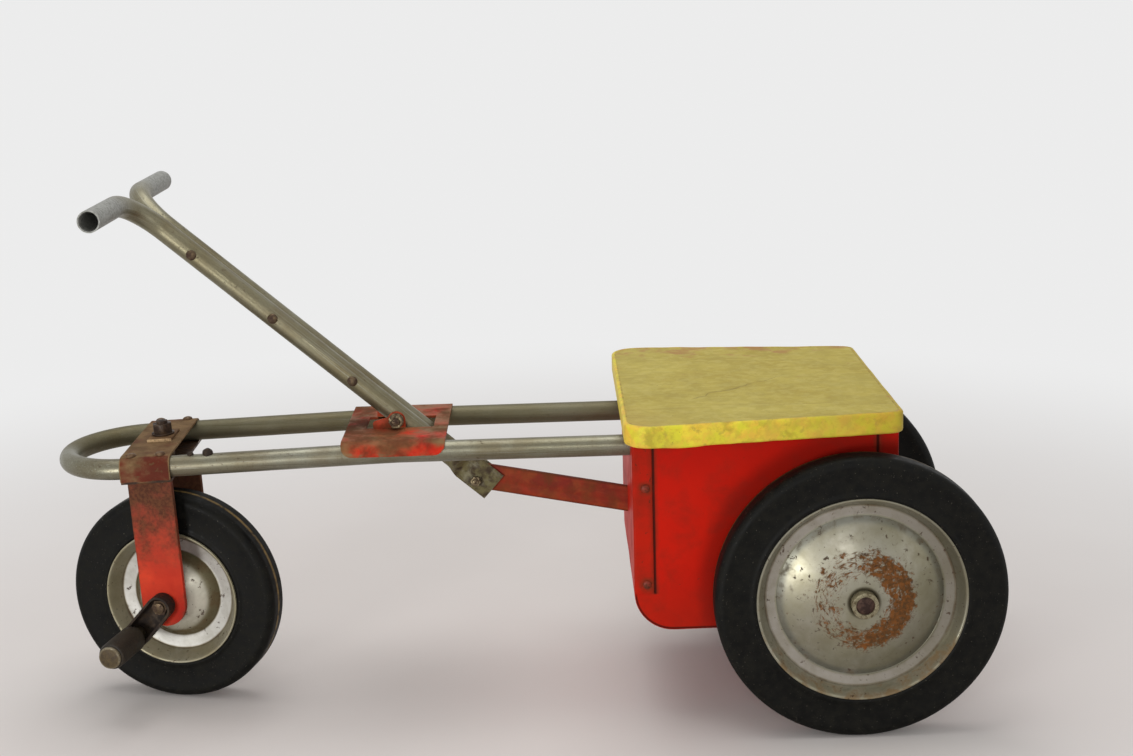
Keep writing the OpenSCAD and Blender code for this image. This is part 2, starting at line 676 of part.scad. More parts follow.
// Lever
module lever_rivet_places() for (i = [0 : 2])
    lever_frame() translate([lever_offset, 0, rivet_start + i * rivet_pitch]) children();
module lever_core(r) {
    translate([lever_offset, -lever_r, round_bottom]) cylinder(r = r, h = bend_start - round_bottom);
    translate([lever_offset, -grip_start, bend_start]) rotate([90, 0, 90])
        rotate_extrude(angle = 90) translate([grip_bend_r, 0]) circle(r = r);
}
module lever_tube() lever_frame() difference() {
    union() {
        lever_core(lever_r);
        translate([lever_offset, 0, lever_len]) along_y(-handle_w / 2, -grip_start, lever_tube_d);
        hull() {
            translate([lever_offset, -lever_r, round_bottom]) cylinder(r = lever_r, h = eps, $fn = 32);
            translate([lever_offset - flat_w / 2, -flat_in - flat_t, flat_top]) cube([flat_w, flat_t, eps]);
        }
        translate([lever_offset - flat_w / 2, -flat_in - flat_t, flat_bottom])
            cube([flat_w, flat_t, flat_len]);
    }
    lever_core(lever_r - tube_wall);
    translate([lever_offset, 0, lever_len])
        along_y(-handle_w / 2 - 1, -grip_start, lever_tube_d - 2 * tube_wall);
    along_y(-2 * lever_tube_d, 0, pivot_bolt_d + 2 * turn_fit);
    for (i = [0 : 2]) translate([lever_offset, 0, rivet_start + i * rivet_pitch])
        along_y(-2 * lever_tube_d, 0, rivet_d);
    translate([-joint_drop, 0, -lever_lower]) along_y(-lever_tube_d, 0, joint_bolt_d);
    translate([spare_hole.x - joint_drop, 0, spare_hole.y - lever_lower])
        along_y(-lever_tube_d, 0, joint_bolt_d);
}
module lever_tube_left() color("#75745f") lever_tube();
module lever_tube_right() color("#75745f") mirror([0, 1, 0]) lever_tube();
module lever_rivets() color("#5c4330") both_sides() lever_rivet_places() {
    along_y(-2 * lever_r, eps, rivet_d);
    translate([0, -2 * lever_r + 0.1, 0]) rotate([90, 0, 0]) dome_head(rivet_head_d, rivet_head_t);
}
module joint_bolt() color("#4c4436") joint_frame() {
    along_y(-flat_in - flat_t - joint_nut_t - bolt_end, flat_in + flat_t, joint_bolt_d);
    hex_y(flat_in + flat_t, flat_in + flat_t + joint_head_t, joint_nut_d);
}
module joint_nut() color("#5a5244") joint_frame() difference() {
    hex_y(-flat_in - flat_t - joint_nut_t, -flat_in - flat_t, joint_nut_d);
    along_y(-lever_tube_d, 0, joint_bolt_d);
}

// Lever bracket and pivot
module ear(s) at_rear() translate([-pivot_back, 0, pivot_z]) {
    along_y(s < 0 ? -ear_out : ear_gap, s < 0 ? -ear_gap : ear_out, 2 * ear_r);
    translate([-ear_front, s < 0 ? -ear_out : ear_gap, tube_top - pivot_z])
        cube([ear_front + ear_r, saddle_t, pivot_z - tube_top]);
}
module lever_bracket() color("#8f3527") difference() {
    union() {
        intersection() {
            at_rear() translate([-pivot_back - bracket_front, 0, frame_z])
                saddle(bracket_front + bracket_back, 1);
            at_rear() translate([-pivot_back, 0, frame_z]) rotate([90, 0, 0])
                linear_extrude(2 * tube_spacing, center = true) bracket_side();
        }
        ear(-1);
        ear(1);
    }
    at_rear() translate([-pivot_back - slot_front, -ear_gap, tube_top - tube_r])
        cube([slot_front + slot_back, 2 * ear_gap, tube_d]);
    at_rear() translate([-pivot_back, 0, pivot_z]) along_y(-2 * ear_out, 2 * ear_out, pivot_bolt_d);
}
module bracket_side() polygon(concat(
    [[-bracket_front, saddle_top + 1]],
    arc([-bracket_front + bracket_corner_r, bracket_corner_r - 1], bracket_corner_r, 180, 270),
    arc([bracket_back - bracket_corner_r, bracket_corner_r - 1], bracket_corner_r, 270, 360),
    [[bracket_back, saddle_top + 1]]));
module at_pivot() at_rear() translate([-pivot_back, 0, pivot_z]) children();
pivot_face = ear_out + pivot_washer_t;
module pivot_bolt() color("#564b3c") at_pivot() {
    along_y(-pivot_face - pivot_nut_t - bolt_end, pivot_face, pivot_bolt_d);
    hex_y(pivot_face, pivot_face + pivot_head_t, pivot_nut_d);
}
module pivot_nut() color("#8a7d66") at_pivot() difference() {
    hex_y(-pivot_face - pivot_nut_t, -pivot_face, pivot_nut_d);
    along_y(-2 * pivot_face, 0, pivot_bolt_d);
}
module pivot_washers() color("#75694f") both_sides() at_pivot()
    ring_y(-pivot_face, -ear_out, pivot_washer_d, pivot_bolt_d);

// Drive rod
rod_outline = concat(
    [[-rod_front_r, rod_eye_drop], [-rod_front_r, 0]],
    arc([0, 0], rod_front_r, 180, 270),
    [[rod_len - rod_taper, rod_eye_drop - rod_h / 2]],
    arc([rod_len, 0], rod_eye_d / 2, -rod_eye_arc, rod_eye_arc, 12),
    [[rod_len - rod_taper, rod_eye_drop + rod_h / 2], [0, rod_eye_drop + rod_h / 2]]);
module drive_rod() color("#7c241c") rod_frame() difference() {
    translate([0, rod_t / 2, 0]) rotate([90, 0, 0]) linear_extrude(rod_t) polygon(rod_outline);
    along_y(-rod_t, rod_t, joint_bolt_d + 2 * turn_fit);
    translate([rod_len, 0, 0]) along_y(-rod_t, rod_t, crank_pin_d + 2 * turn_fit);
}

// Seat box
function box_outline(inset) =
    let (x0 = -box_front + inset, x1 = box_back - inset, z0 = box_z + inset, r = box_corner_r - inset)
    concat([[x0, seat_bottom]], arc([x0 + r, z0 + r], r, 180, 270, 16),
        arc([x1 - r, z0 + r], r, 270, 360, 16), [[x1, seat_bottom]]);
module box_slab(inset, y0, y1) at_rear() translate([0, y1, 0]) rotate([90, 0, 0])
    linear_extrude(y1 - y0) polygon(box_outline(inset));
module laps() both_sides() at_rear() for (x = [-box_front, box_back - lap_w])
    translate([x, -box_half, lap_low]) cube([lap_w, sheet_t, seat_bottom - lap_low]);
module box_rivet_places() both_sides() at_rear()
    for (x = [-box_front + box_rivet_edge, box_back - box_rivet_edge], z = [box_rivet_low, box_rivet_high])
        translate([x, -box_half, z]) children();
module box_wrap() color("#b3201a") difference() {
    union() {
        difference() {
            box_slab(0, -box_half, box_half);
            box_slab_cut();
        }
        laps();
    }
    at_rear() for (y = [-half_gap, half_gap]) translate([-box_front - sheet_t, y, frame_z])
        rotate([0, 90, 0]) cylinder(r = tube_r, h = 4 * sheet_t);
    at_rear() translate([-box_front - sheet_t, -rod_slot_w / 2, rod_wall_z - rod_half_h - rod_slot_below])
        cube([4 * sheet_t, rod_slot_w, 2 * rod_half_h + rod_slot_below + rod_slot_above]);
    box_rivet_places() rivet_hole();
}
module box_slab_cut() at_rear() translate([0, box_w, 0]) rotate([90, 0, 0]) linear_extrude(2 * box_w)
    polygon(concat(box_outline(sheet_t),
        [[box_back - sheet_t, seat_bottom + 5], [-box_front + sheet_t, seat_bottom + 5]]));
module rivet_hole() along_y(-4 * sheet_t, 4 * sheet_t, box_rivet_d);
module box_side() difference() {
    union() {
        box_slab(sheet_t, -panel_out, -panel_in);
        at_rear() translate([-box_front + sheet_t, -panel_out, seat_bottom - sheet_t])
            cube([box_front + box_back - 2 * sheet_t, lip_w, sheet_t]);
    }
    rear_axis() along_y(-box_w, 0, bush_d);
    box_rivet_places() rivet_hole();
    bush_rivet_places() rivet_hole();
    lip_screw_places() cylinder(d = screw_d, h = 2 * seat_t, center = true);
}
module box_side_left() color("#b3201a") box_side();
module box_side_right() color("#b3201a") mirror([0, 1, 0]) box_side();
module box_rivets() color("#6a3a22") box_rivet_places() {
    along_y(0, 2 * sheet_t, box_rivet_d);
    rotate([90, 0, 0]) dome_head(box_rivet_head_d, box_rivet_head_t);
    translate([0, 2 * sheet_t, 0]) rotate([-90, 0, 0]) dome_head(bush_rivet_head_d, bush_rivet_head_t);
}
module bush_rivet_places() rear_axis() for (a = [90, 210, 330]) rotate([0, a, 0])
    translate([bush_flange_d / 2 - bush_rivet_in, -panel_out, 0]) children();
module axle_bush() rear_axis() difference() {
    union() {
        along_y(-bush_out, -bush_out + bush_len, bush_d);
        along_y(-panel_out - bush_flange_t, -panel_out, bush_flange_d);
    }
    along_y(-box_w, 0, rear_axle_d + 2 * turn_fit);
    for (a = [90, 210, 330]) rotate([0, a, 0]) translate([bush_flange_d / 2 - bush_rivet_in, -panel_out, 0])
        rivet_hole();
}
module axle_bush_left() color("#4f4a40") axle_bush();
module axle_bush_right() color("#4f4a40") mirror([0, 1, 0]) axle_bush();
module bush_rivets() color("#4f4438") both_sides() bush_rivet_places() {
    along_y(-bush_flange_t, sheet_t, box_rivet_d);
    translate([0, -bush_flange_t, 0]) rotate([90, 0, 0]) dome_head(bush_rivet_head_d, bush_rivet_head_t);
    translate([0, sheet_t, 0]) rotate([-90, 0, 0]) dome_head(bush_rivet_head_d, bush_rivet_head_t);
}

// Seat
seat_outline = rounded([[-box_front - seat_over_front, -seat_front_w / 2], [box_back, -seat_rear_w / 2],
    [box_back, seat_rear_w / 2], [-box_front - seat_over_front, seat_front_w / 2]],
    [seat_front_r, seat_rear_r, seat_rear_r, seat_front_r]);
lip_screw_x = [-box_front + lip_screw_front, (box_back - box_front) / 2, box_back - lip_screw_rear];
module lip_screw_places() both_sides() at_rear() for (x = lip_screw_x)
    translate([x, -panel_in + lip_screw_in, seat_bottom - sheet_t]) children();
module batten_screw_places() at_rear()
    for (x = [batten_front_x, batten_rear_x], y = [-batten_screw_y, batten_screw_y])
        translate([x, y, seat_bottom - batten_t]) children();
module clip_places() at_rear() for (x = [batten_front_x, batten_rear_x], y = [-half_gap, half_gap])
    translate([x, y, frame_z]) children();
module clip_screw_places() clip_places() for (s = [-1, 1])
    translate([0, s * (tube_r + clip_t + clip_foot / 2), tube_r - clip_t]) children();
module seat_board() color("#c9c04a") difference() {
    at_rear() translate([0, 0, seat_bottom]) linear_extrude(seat_t) polygon(seat_outline);
    lip_screw_places() cylinder(d = screw_d, h = sheet_t + screw_bite);
    batten_screw_places() cylinder(d = screw_d, h = batten_t + screw_bite);
}
module seat_battens() color("#9c7b4e") difference() {
    at_rear() for (x = [batten_front_x, batten_rear_x])
        translate([x - batten_w / 2, -batten_half, tube_top]) cube([batten_w, 2 * batten_half, batten_t]);
    batten_screw_places() translate([0, 0, -1]) cylinder(d = screw_d, h = batten_t + 2);
    clip_screw_places() cylinder(d = screw_d, h = clip_t + screw_bite);
}
module tube_clips() color("#6f6a5c") difference() {
    clip_places() {
        intersection() {
            rotate([0, 90, 0]) difference() {
                cylinder(r = tube_r + clip_t, h = clip_w, center = true);
                cylinder(r = tube_r, h = clip_w + 2, center = true);
            }
            translate([0, 0, -tube_d]) cube([clip_w, 2 * tube_d, 2 * tube_d], center = true);
        }
        for (s = [-1, 1]) {
            translate([-clip_w / 2, s > 0 ? tube_r : -tube_r - clip_t, 0]) cube([clip_w, clip_t, tube_r]);
            translate([-clip_w / 2, s > 0 ? tube_r : -tube_r - clip_t - clip_foot, tube_r - clip_t])
                cube([clip_w, clip_t + clip_foot, clip_t]);
        }
    }
    clip_screw_places() translate([0, 0, -1]) cylinder(d = screw_d, h = clip_t + 2);
}
module wood_screw(length) {
    cylinder(d = screw_d, h = length);
    mirror([0, 0, 1]) dome_head(screw_head_d, screw_head_t);
}
module seat_screws() color("#8c8574") {
    lip_screw_places() wood_screw(sheet_t + screw_bite);
    batten_screw_places() wood_screw(batten_t + screw_bite);
    clip_screw_places() wood_screw(clip_t + screw_bite);
}

frame_tube();
fork_bracket();
bracket_base();
kingpin_bush();
kingpin_plate();
bracket_rivets();
accessory_screws();
lever_bracket();
pivot_bolt();
pivot_nut();
pivot_washers();
box_wrap();
box_side_left();
box_side_right();
box_rivets();
axle_bush_left();
axle_bush_right();
bush_rivets();
seat_board();
seat_battens();
tube_clips();
seat_screws();
fork();
kingpin();
kingpin_nut();
kingpin_washers();
front_axle();
front_axle_nuts();
front_spacers();
footrest_left();
footrest_right();
peg_rubber_left();
peg_rubber_right();
peg_bolt_left();
peg_bolt_right();
front_tyre();
front_disc_left();
front_disc_right();
front_hub();
rear_axle_left();
rear_axle_right();
crank_web_left();
crank_web_right();
rear_hub_left();
rear_disc_left_outer();
rear_disc_left_inner();
rear_tyre_left();
drive_pin();
axle_cap();
rear_washers();
rear_hub_right();
rear_disc_right_outer();
rear_disc_right_inner();
rear_tyre_right();
lever_tube_left();
lever_tube_right();
lever_rivets();
joint_bolt();
joint_nut();
drive_rod();
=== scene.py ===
import json
import math

import bmesh
import bpy
from mathutils import Matrix, Vector, noise

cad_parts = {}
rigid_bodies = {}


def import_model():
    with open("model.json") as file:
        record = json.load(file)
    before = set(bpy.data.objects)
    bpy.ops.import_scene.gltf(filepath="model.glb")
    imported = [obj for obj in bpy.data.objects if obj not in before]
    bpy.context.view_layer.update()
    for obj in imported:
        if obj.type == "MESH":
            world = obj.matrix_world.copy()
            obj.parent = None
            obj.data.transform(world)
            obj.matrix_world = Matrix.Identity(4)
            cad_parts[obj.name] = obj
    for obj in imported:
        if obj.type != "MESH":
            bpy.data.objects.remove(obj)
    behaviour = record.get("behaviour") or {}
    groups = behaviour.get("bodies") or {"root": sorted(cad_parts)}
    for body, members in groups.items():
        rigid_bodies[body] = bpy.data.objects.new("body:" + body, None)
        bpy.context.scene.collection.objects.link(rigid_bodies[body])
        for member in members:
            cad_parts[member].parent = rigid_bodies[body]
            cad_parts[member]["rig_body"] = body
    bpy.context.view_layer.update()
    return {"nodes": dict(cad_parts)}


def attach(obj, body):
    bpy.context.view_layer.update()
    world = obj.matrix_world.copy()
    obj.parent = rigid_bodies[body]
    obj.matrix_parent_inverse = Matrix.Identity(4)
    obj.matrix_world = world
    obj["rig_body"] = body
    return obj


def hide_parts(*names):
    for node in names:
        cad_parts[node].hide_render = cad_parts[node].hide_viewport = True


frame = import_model()
scene = bpy.context.scene
scene.view_settings.view_transform = "Standard"


# Camera
# A long lens at about the height of the lever's grips, a little ahead of the middle of the toy and
# turned down thirteen degrees.
camera = bpy.data.objects.new("camera", bpy.data.cameras.new("camera"))
camera.data.sensor_width = 36
camera.data.lens = 55.103
camera.data.clip_end = 60
camera.location = (0.047045, -1.808136, 0.775630)
camera.rotation_euler = [math.radians(a) for a in (76.60315, 1.70904, -0.71972)]
scene.collection.objects.link(camera)
scene.camera = camera


# Floor and light
# A sheet of pale paper that fades into the white room. The main soft box stands low on the left, weak
# ones in front and on the right, one hangs overhead, and the room itself gives an even light.
def node(tree, kind, inputs=None, **settings):
    """A node with its settings made and its inputs linked or set."""
    made = tree.nodes.new(kind)
    for key, value in settings.items():
        setattr(made, key, value)
    for key, value in (inputs or {}).items():
        if isinstance(value, bpy.types.NodeSocket):
            tree.links.new(value, made.inputs[key])
        else:
            made.inputs[key].default_value = value
    return made


def calc(tree, how, *values, clamp=False):
    """One step of arithmetic."""
    return node(tree, "ShaderNodeMath", dict(enumerate(values)), operation=how, use_clamp=clamp).outputs[0]


def vector_calc(tree, how, *values):
    made = node(tree, "ShaderNodeVectorMath", dict(enumerate(values)), operation=how)
    return made.outputs["Value" if how in ("LENGTH", "DOT_PRODUCT") else "Vector"]


def ramp(tree, value, *ends, smooth=False):
    """A value carried from one range to another, or to 0 and 1."""
    return node(tree, "ShaderNodeMapRange", {"Value": value, **dict(enumerate(ends, 1))},
                interpolation_type="SMOOTHSTEP" if smooth else "LINEAR").outputs[0]


def seen(red, green, blue):
    """A colour as it looks on a screen, 0 to 255, turned into the shader's own values."""
    return tuple(((c / 255 + 0.055) / 1.055) ** 2.4 if c > 10 else c / 3294 for c in (red, green, blue)) + (1.0,)


def add_mesh(name, verts, faces):
    mesh = bpy.data.meshes.new(name)
    mesh.from_pydata(verts, [], faces)
    made = bpy.data.objects.new(name, mesh)
    scene.collection.objects.link(made)
    return made


def strips(rows, count, closed=True):
    """Faces between neighbouring rows of count points; closed rows are rings."""
    return [(i * count + k, i * count + (k + 1) % count, (i + 1) * count + (k + 1) % count, (i + 1) * count + k)
            for i in range(rows - 1) for k in range(count if closed else count - 1)]


def white_rays(tree):
    """1 for the rays that show the white room: straight to the camera, mirrored, or through glass."""
    path = node(tree, "ShaderNodeLightPath").outputs
    straight = calc(tree, "MAXIMUM", path["Is Camera Ray"], path["Is Glossy Ray"])
    return calc(tree, "MAXIMUM", straight, path["Is Transmission Ray"])


ROOM_LIGHT, ROOM_WHITE = 0.42, 0.84
FLOOR_SIDES, FLOOR_RADII = 48, (0.02, 1.0, 3.0, 9.0, 30.0)
paper = bpy.data.materials.new("paper")
paper.use_nodes = True
tree = paper.node_tree
tree.nodes.clear()
place = node(tree, "ShaderNodeTexCoord").outputs["Object"]
fade = ramp(tree, vector_calc(tree, "LENGTH", place), 0.4, 1.8, smooth=True)
grain = node(tree, "ShaderNodeTexNoise", {"Vector": place, "Scale": 3.0, "Detail": 3.0}).outputs["Fac"]
tint = node(tree, "ShaderNodeMix", {0: grain, 6: seen(224, 217, 213), 7: seen(233, 227, 223)},
            data_type="RGBA").outputs[2]
matte = node(tree, "ShaderNodeBsdfPrincipled", {"Base Color": tint, "Roughness": 0.9, "Specular IOR Level": 0.1})
strength = ramp(tree, white_rays(tree), 0.0, 1.0, ROOM_LIGHT, ROOM_WHITE)
glow = node(tree, "ShaderNodeEmission", {"Color": (1, 1, 1, 1), "Strength": strength})
both = node(tree, "ShaderNodeMixShader", {0: fade, 1: matte.outputs[0], 2: glow.outputs[0]})
node(tree, "ShaderNodeOutputMaterial", {"Surface": both.outputs[0]})
round_floor = [k * math.tau / FLOOR_SIDES for k in range(FLOOR_SIDES)]
floor = add_mesh("floor", [(r * math.cos(a), r * math.sin(a), 0) for r in FLOOR_RADII for a in round_floor],
                 [range(FLOOR_SIDES)] + [f[::-1] for f in strips(len(FLOOR_RADII), FLOOR_SIDES)])
floor.data.materials.append(paper)

for name, place, size, power in (("lamp_left", (-1.4, -2.3, 0.29), (0.5, 0.56), 31),
                                 ("lamp_front", (0.15, -2.3, 0.95), (0.4, 0.3), 5),
                                 ("lamp_right", (2.2, -1.5, 0.60), (1.4, 1.1), 5),
                                 ("lamp_above", (-0.2, 0.2, 2.5), (1.8, 1.8), 27)):
    lamp = bpy.data.objects.new(name, bpy.data.lights.new(name, "AREA"))
    lamp.data.shape = "RECTANGLE"
    lamp.data.size, lamp.data.size_y = size
    lamp.data.energy = power
    lamp.visible_camera = False
    lamp.location = place
    lamp.rotation_euler = (Vector((0, 0, 0.2)) - lamp.location).to_track_quat("-Z", "Y").to_euler()
    scene.collection.objects.link(lamp)

world = bpy.data.worlds.new("room")
world.use_nodes = True
scene.world = world
tree = world.node_tree
tree.nodes.clear()
level = ramp(tree, white_rays(tree), 0.0, 1.0, ROOM_LIGHT, ROOM_WHITE)
sky = node(tree, "ShaderNodeBackground", {"Color": (1, 1, 1, 1), "Strength": level})
node(tree, "ShaderNodeOutputWorld", {"Surface": sky.outputs[0]})


# Frame tube
# One length of 22 mm steel tube bent back on itself like a hairpin. Its bare surface has gone
# olive grey, with brown stains and finer scratches along it; the far leg is rougher and painted darker, as shade.
def group(name, ins, outs, kind="ShaderNodeTree"):
    """An empty node group; each input is given by its default number or by its kind of socket."""
    made = bpy.data.node_groups.new(name, kind)
    for label, value in ins.items():
        of_kind = value if isinstance(value, str) else "Float"
        socket = made.interface.new_socket(label, in_out="INPUT", socket_type="NodeSocket" + of_kind)
        if not isinstance(value, str):
            socket.default_value = value
    for label, of_kind in outs.items():
        made.interface.new_socket(label, in_out="OUTPUT", socket_type="NodeSocket" + of_kind)
    return made, made.nodes.new("NodeGroupInput").outputs, made.nodes.new("NodeGroupOutput").inputs


# Patches: an uneven mask of one scale, more or less of it, with crisp or soft edges
patches, given, result = group("patches", {"Vector": "Vector", "Scale": 20.0, "Amount": 0.3, "Softness": 0.06,
                                           "Roughness": 0.6, "Seed": 0.0}, {"Mask": "Float", "Noise": "Float"})
cloud = node(patches, "ShaderNodeTexNoise", {"Vector": vector_calc(patches, "ADD", given["Vector"], given["Seed"]),
                                             "Scale": given["Scale"], "Detail": 7.0, "Distortion": 0.25,
                                             "Roughness": given["Roughness"]}).outputs["Fac"]
edge = ramp(patches, given["Amount"], 0.0, 1.0, 0.74, 0.26)
low, high = (calc(patches, how, edge, given["Softness"]) for how in ("SUBTRACT", "ADD"))
patches.links.new(ramp(patches, cloud, low, high, smooth=True), result["Mask"])
patches.links.new(cloud, result["Noise"])

# Scratches: thin lines that run along the vector's first axis
scratches, given, result = group("scratches", {"Vector": "Vector", "Fineness": 900.0, "Length": 14.0,
                                               "Amount": 0.3}, {"Mask": "Float"})
apart = node(scratches, "ShaderNodeSeparateXYZ", {0: given["Vector"]}).outputs
drawn = {k: calc(scratches, "MULTIPLY", apart[k], given["Fineness" if k else "Length"]) for k in range(3)}
lines = node(scratches, "ShaderNodeTexNoise", {"Vector": node(scratches, "ShaderNodeCombineXYZ", drawn).outputs[0],
                                               "Scale": 1.0, "Detail": 2.0}).outputs["Fac"]
cut = ramp(scratches, given["Amount"], 0.0, 1.0, 0.78, 0.4)
scratches.links.new(ramp(scratches, lines, cut, calc(scratches, "ADD", cut, 0.1)), result["Mask"])


class Surface:
    """A material under work, in Object coordinates or in the frame of a piece given by its matrix.
    Colours are (red, green, blue) as seen on a screen; masks and values are sockets or numbers."""

    def __init__(self, name, matrix=None):
        self.material = bpy.data.materials.new(name)
        self.material.use_nodes = True
        self.tree = self.material.node_tree
        self.tree.nodes.clear()
        self.metal = 0.0
        source = self.node("ShaderNodeTexCoord").outputs
        self.place, self.uv = source["Object"], source["UV"]
        if matrix is not None:
            back = matrix.inverted()
            self.place = self.node("ShaderNodeMapping", {"Vector": self.place, "Location": back.translation,
                                                         "Rotation": back.to_euler()}).outputs[0]

    def node(self, kind, inputs=None, **settings):
        return node(self.tree, kind, inputs, **settings)

    def calc(self, how, *values):
        return calc(self.tree, how, *values)

    def ramp(self, value, *ends, smooth=False):
        return ramp(self.tree, value, *ends, smooth=smooth)

    def attribute(self, name):
        return self.node("ShaderNodeAttribute", attribute_name=name).outputs["Fac"]

    def xyz(self, vector=None):
        return self.node("ShaderNodeSeparateXYZ", {0: vector or self.place}).outputs

    def length(self, x, y):
        return vector_calc(self.tree, "LENGTH", self.node("ShaderNodeCombineXYZ", {0: x, 1: y}).outputs[0])

    def radius(self, centre=None):
        """The distance from an axle that runs along y."""
        from_centre = vector_calc(self.tree, "SUBTRACT", self.place, centre) if centre else self.place
        return vector_calc(self.tree, "LENGTH", vector_calc(self.tree, "MULTIPLY", from_centre, (1, 0, 1)))

    def off(self, value, at):
        return self.calc("ABSOLUTE", self.calc("SUBTRACT", value, at))

    def times(self, first, *others):
        """The product of masks and shares, kept between 0 and 1."""
        for other in others:
            first = calc(self.tree, "MULTIPLY", first, other, clamp=True)
        return first

    def most(self, first, *others):
        for other in others:
            first = self.calc("MAXIMUM", first, other)
        return first

    def between(self, value, low, high, soft):
        """1 where the value lies between two limits."""
        return self.times(self.ramp(value, low - soft, low + soft, smooth=True),
                          self.ramp(value, high - soft, high + soft, 1.0, 0.0, smooth=True))

    def patch(self, scale, amount, softness, seed, roughness=0.6, at=None):
        return self.node("ShaderNodeGroup", {"Vector": at or self.place, "Scale": scale, "Amount": amount,
                                             "Softness": softness, "Roughness": roughness, "Seed": seed},
                         node_tree=patches).outputs["Mask"]

    def scratch(self, fineness, length, amount, at=None):
        return self.node("ShaderNodeGroup", {"Vector": at or self.place, "Fineness": fineness, "Length": length,
                                             "Amount": amount}, node_tree=scratches).outputs["Mask"]

    def blend(self, mask, under, over):
        """Under where the mask is 0, over where it is 1: two values or two colours."""
        colours = isinstance(over, tuple) or getattr(over, "type", "") == "RGBA"
        under, over = (seen(*c) if isinstance(c, tuple) else c for c in (under, over))
        first = 6 if colours else 2
        return self.node("ShaderNodeMix", {0: mask, first: under, first + 1: over}, clamp_factor=True,
                         data_type="RGBA" if colours else "FLOAT").outputs[2 if colours else 0]

    def coat(self, mask, colour, share=None):
        """More colour over what is there, where the mask says so."""
        self.colour = self.blend(mask if share is None else self.times(mask, share), self.colour, colour)

    def finish(self, strength, distance, spec):
        """The shader, with a bump of that strength and height; gives the finished material."""
        bump = self.node("ShaderNodeBump", {"Height": self.height, "Strength": strength, "Distance": distance})
        shader = self.node("ShaderNodeBsdfPrincipled", {
            "Base Color": self.colour, "Roughness": self.rough, "Metallic": self.metal,
            "Normal": bump.outputs[0], "Specular IOR Level": spec})
        self.node("ShaderNodeOutputMaterial", {"Surface": shader.outputs[0]})
        return self.material


def noise_of(mask):
    """The soft noise from which a patch mask was cut."""
    return mask.node.outputs["Noise"]


def bare_tube(name, clean, dulled, by_uv=False):
    """Drawn steel tube: stains, long light and dark draw marks, brown spots, fine pits."""
    s = Surface(name)
    s.along = s.uv if by_uv else s.place
    stain, spots, pits = s.patch(22, 0.45, 0.2, 3.1), s.patch(190, 0.16, 0.05, 7.7), s.patch(900, 0.32, 0.1, 1.3)
    s.colour = s.blend(s.patch(9, 0.5, 0.3, 12), clean, dulled)
    s.coat(stain, (98, 84, 58), 0.55)
    s.coat(s.scratch(420, 5, 0.45, s.along), (82, 78, 60), 0.5)
    s.coat(s.scratch(1100, 7, 0.5, s.along), (172, 172, 162), 0.4)
    s.coat(spots, (70, 52, 36), 0.6)
    s.coat(pits, (60, 54, 42), 0.35)
    s.rough = s.blend(spots, s.blend(stain, 0.3, 0.46), 0.8)
    s.metal = s.blend(spots, 0.75, 0.1)
    s.height = s.blend(pits, 0.5, 0.2)
    return s


def fit(made, *names):
    """The piece stands for these nodes: it moves with their body, and the nodes are hidden."""
    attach(made, frame["nodes"][names[0]]["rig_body"])
    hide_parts(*names)
    return made


def close_rings(rings):
    """Faces of a skin through rings of equal length, with flat ends."""
    n, count = len(rings[0]), len(rings)
    return strips(count, n) + [range(n)[::-1], range((count - 1) * n, count * n)]


def polish(made, material, angle=35):
    """Outward normals and soft shading up to the given angle."""
    work = bmesh.new()
    work.from_mesh(made.data)
    bmesh.ops.remove_doubles(work, verts=work.verts, dist=1e-7)
    bmesh.ops.recalc_face_normals(work, faces=work.faces)
    work.to_mesh(made.data)
    work.free()
    made.data.shade_smooth()
    made.data.set_sharp_from_angle(angle=math.radians(angle))
    made.data.materials.clear()
    made.data.materials.append(material)
    return made


def circle(radius, n):
    return [(radius * math.cos(k * math.tau / n), radius * math.sin(k * math.tau / n)) for k in range(n)]


def skin(name, rings, lengths):
    """A closed skin through the rings, with the distance along and round it in a UV layer."""
    n = len(rings[0])
    made = add_mesh(name, [v for ring in rings for v in ring], close_rings(rings))
    uv = made.data.uv_layers.new(name="length")
    for loop in made.data.loops:
        i, k = divmod(loop.vertex_index, n)
        uv.data[loop.index].uv = (lengths[i], k / n * TUBE_GIRTH)
    return made


def lengths_of(path):
    """The distance from the path's start to each of its points."""
    lengths = [0.0]
    for a, b in zip(path, path[1:]):
        lengths.append(lengths[-1] + (b - a).length)
    return lengths


def leg(y):
    """A leg's middle line from its rear end past the kink to the bend."""
    level = [Vector((REAR_X + LEG_BACK - k / 30 * LEG_LONG, y, FRAME_Z)) for k in range(31)]
    return level + [nose @ Vector((-NOSE_FROM - k / 30 * NOSE_LONG, y, 0)) for k in range(1, 30)]


REAR_X, PIVOT_X, FRAME_Z = 0.345685, 0.345685 - 0.4708, 0.289
HALF_GAP, TUBE_R, TUBE_GIRTH = 0.072, 0.011, 0.069
LEG_BACK, LEG_LONG, NOSE_FROM, NOSE_LONG, BEND_AHEAD = 0.030, 0.496, 0.005, 0.272, 0.028
droop = Matrix.Rotation(math.radians(-1.8), 4, "Y")
nose = Matrix.Translation((PIVOT_X, 0, FRAME_Z)) @ droop
kingpin_place = Matrix.Translation((-0.378466, 0, 0.281038)) @ droop
bend = [math.radians(-90 - k / 48 * 180) for k in range(49)]
path = leg(-HALF_GAP) + [kingpin_place @ Vector((-BEND_AHEAD + HALF_GAP * math.cos(a), HALF_GAP * math.sin(a), 0))
                         for a in bend] + leg(HALF_GAP)[::-1]
rings = []
for i, p in enumerate(path):
    t = (path[min(i + 1, len(path) - 1)] - path[max(i - 1, 0)]).normalized()
    side = t.cross(Vector((0, 0, 1))).normalized()
    top = side.cross(t)
    rings.append([p + side * u + top * v for u, v in circle(TUBE_R, 32)])
tube = bare_tube("bare tube", (134, 133, 119), (114, 110, 88))
# The far leg is painted darker as shade, and made rougher.
far_leg_shade = tube.ramp(tube.xyz()[1], -0.03, 0.01)
tube.coat(far_leg_shade, (92, 84, 56), 0.6)
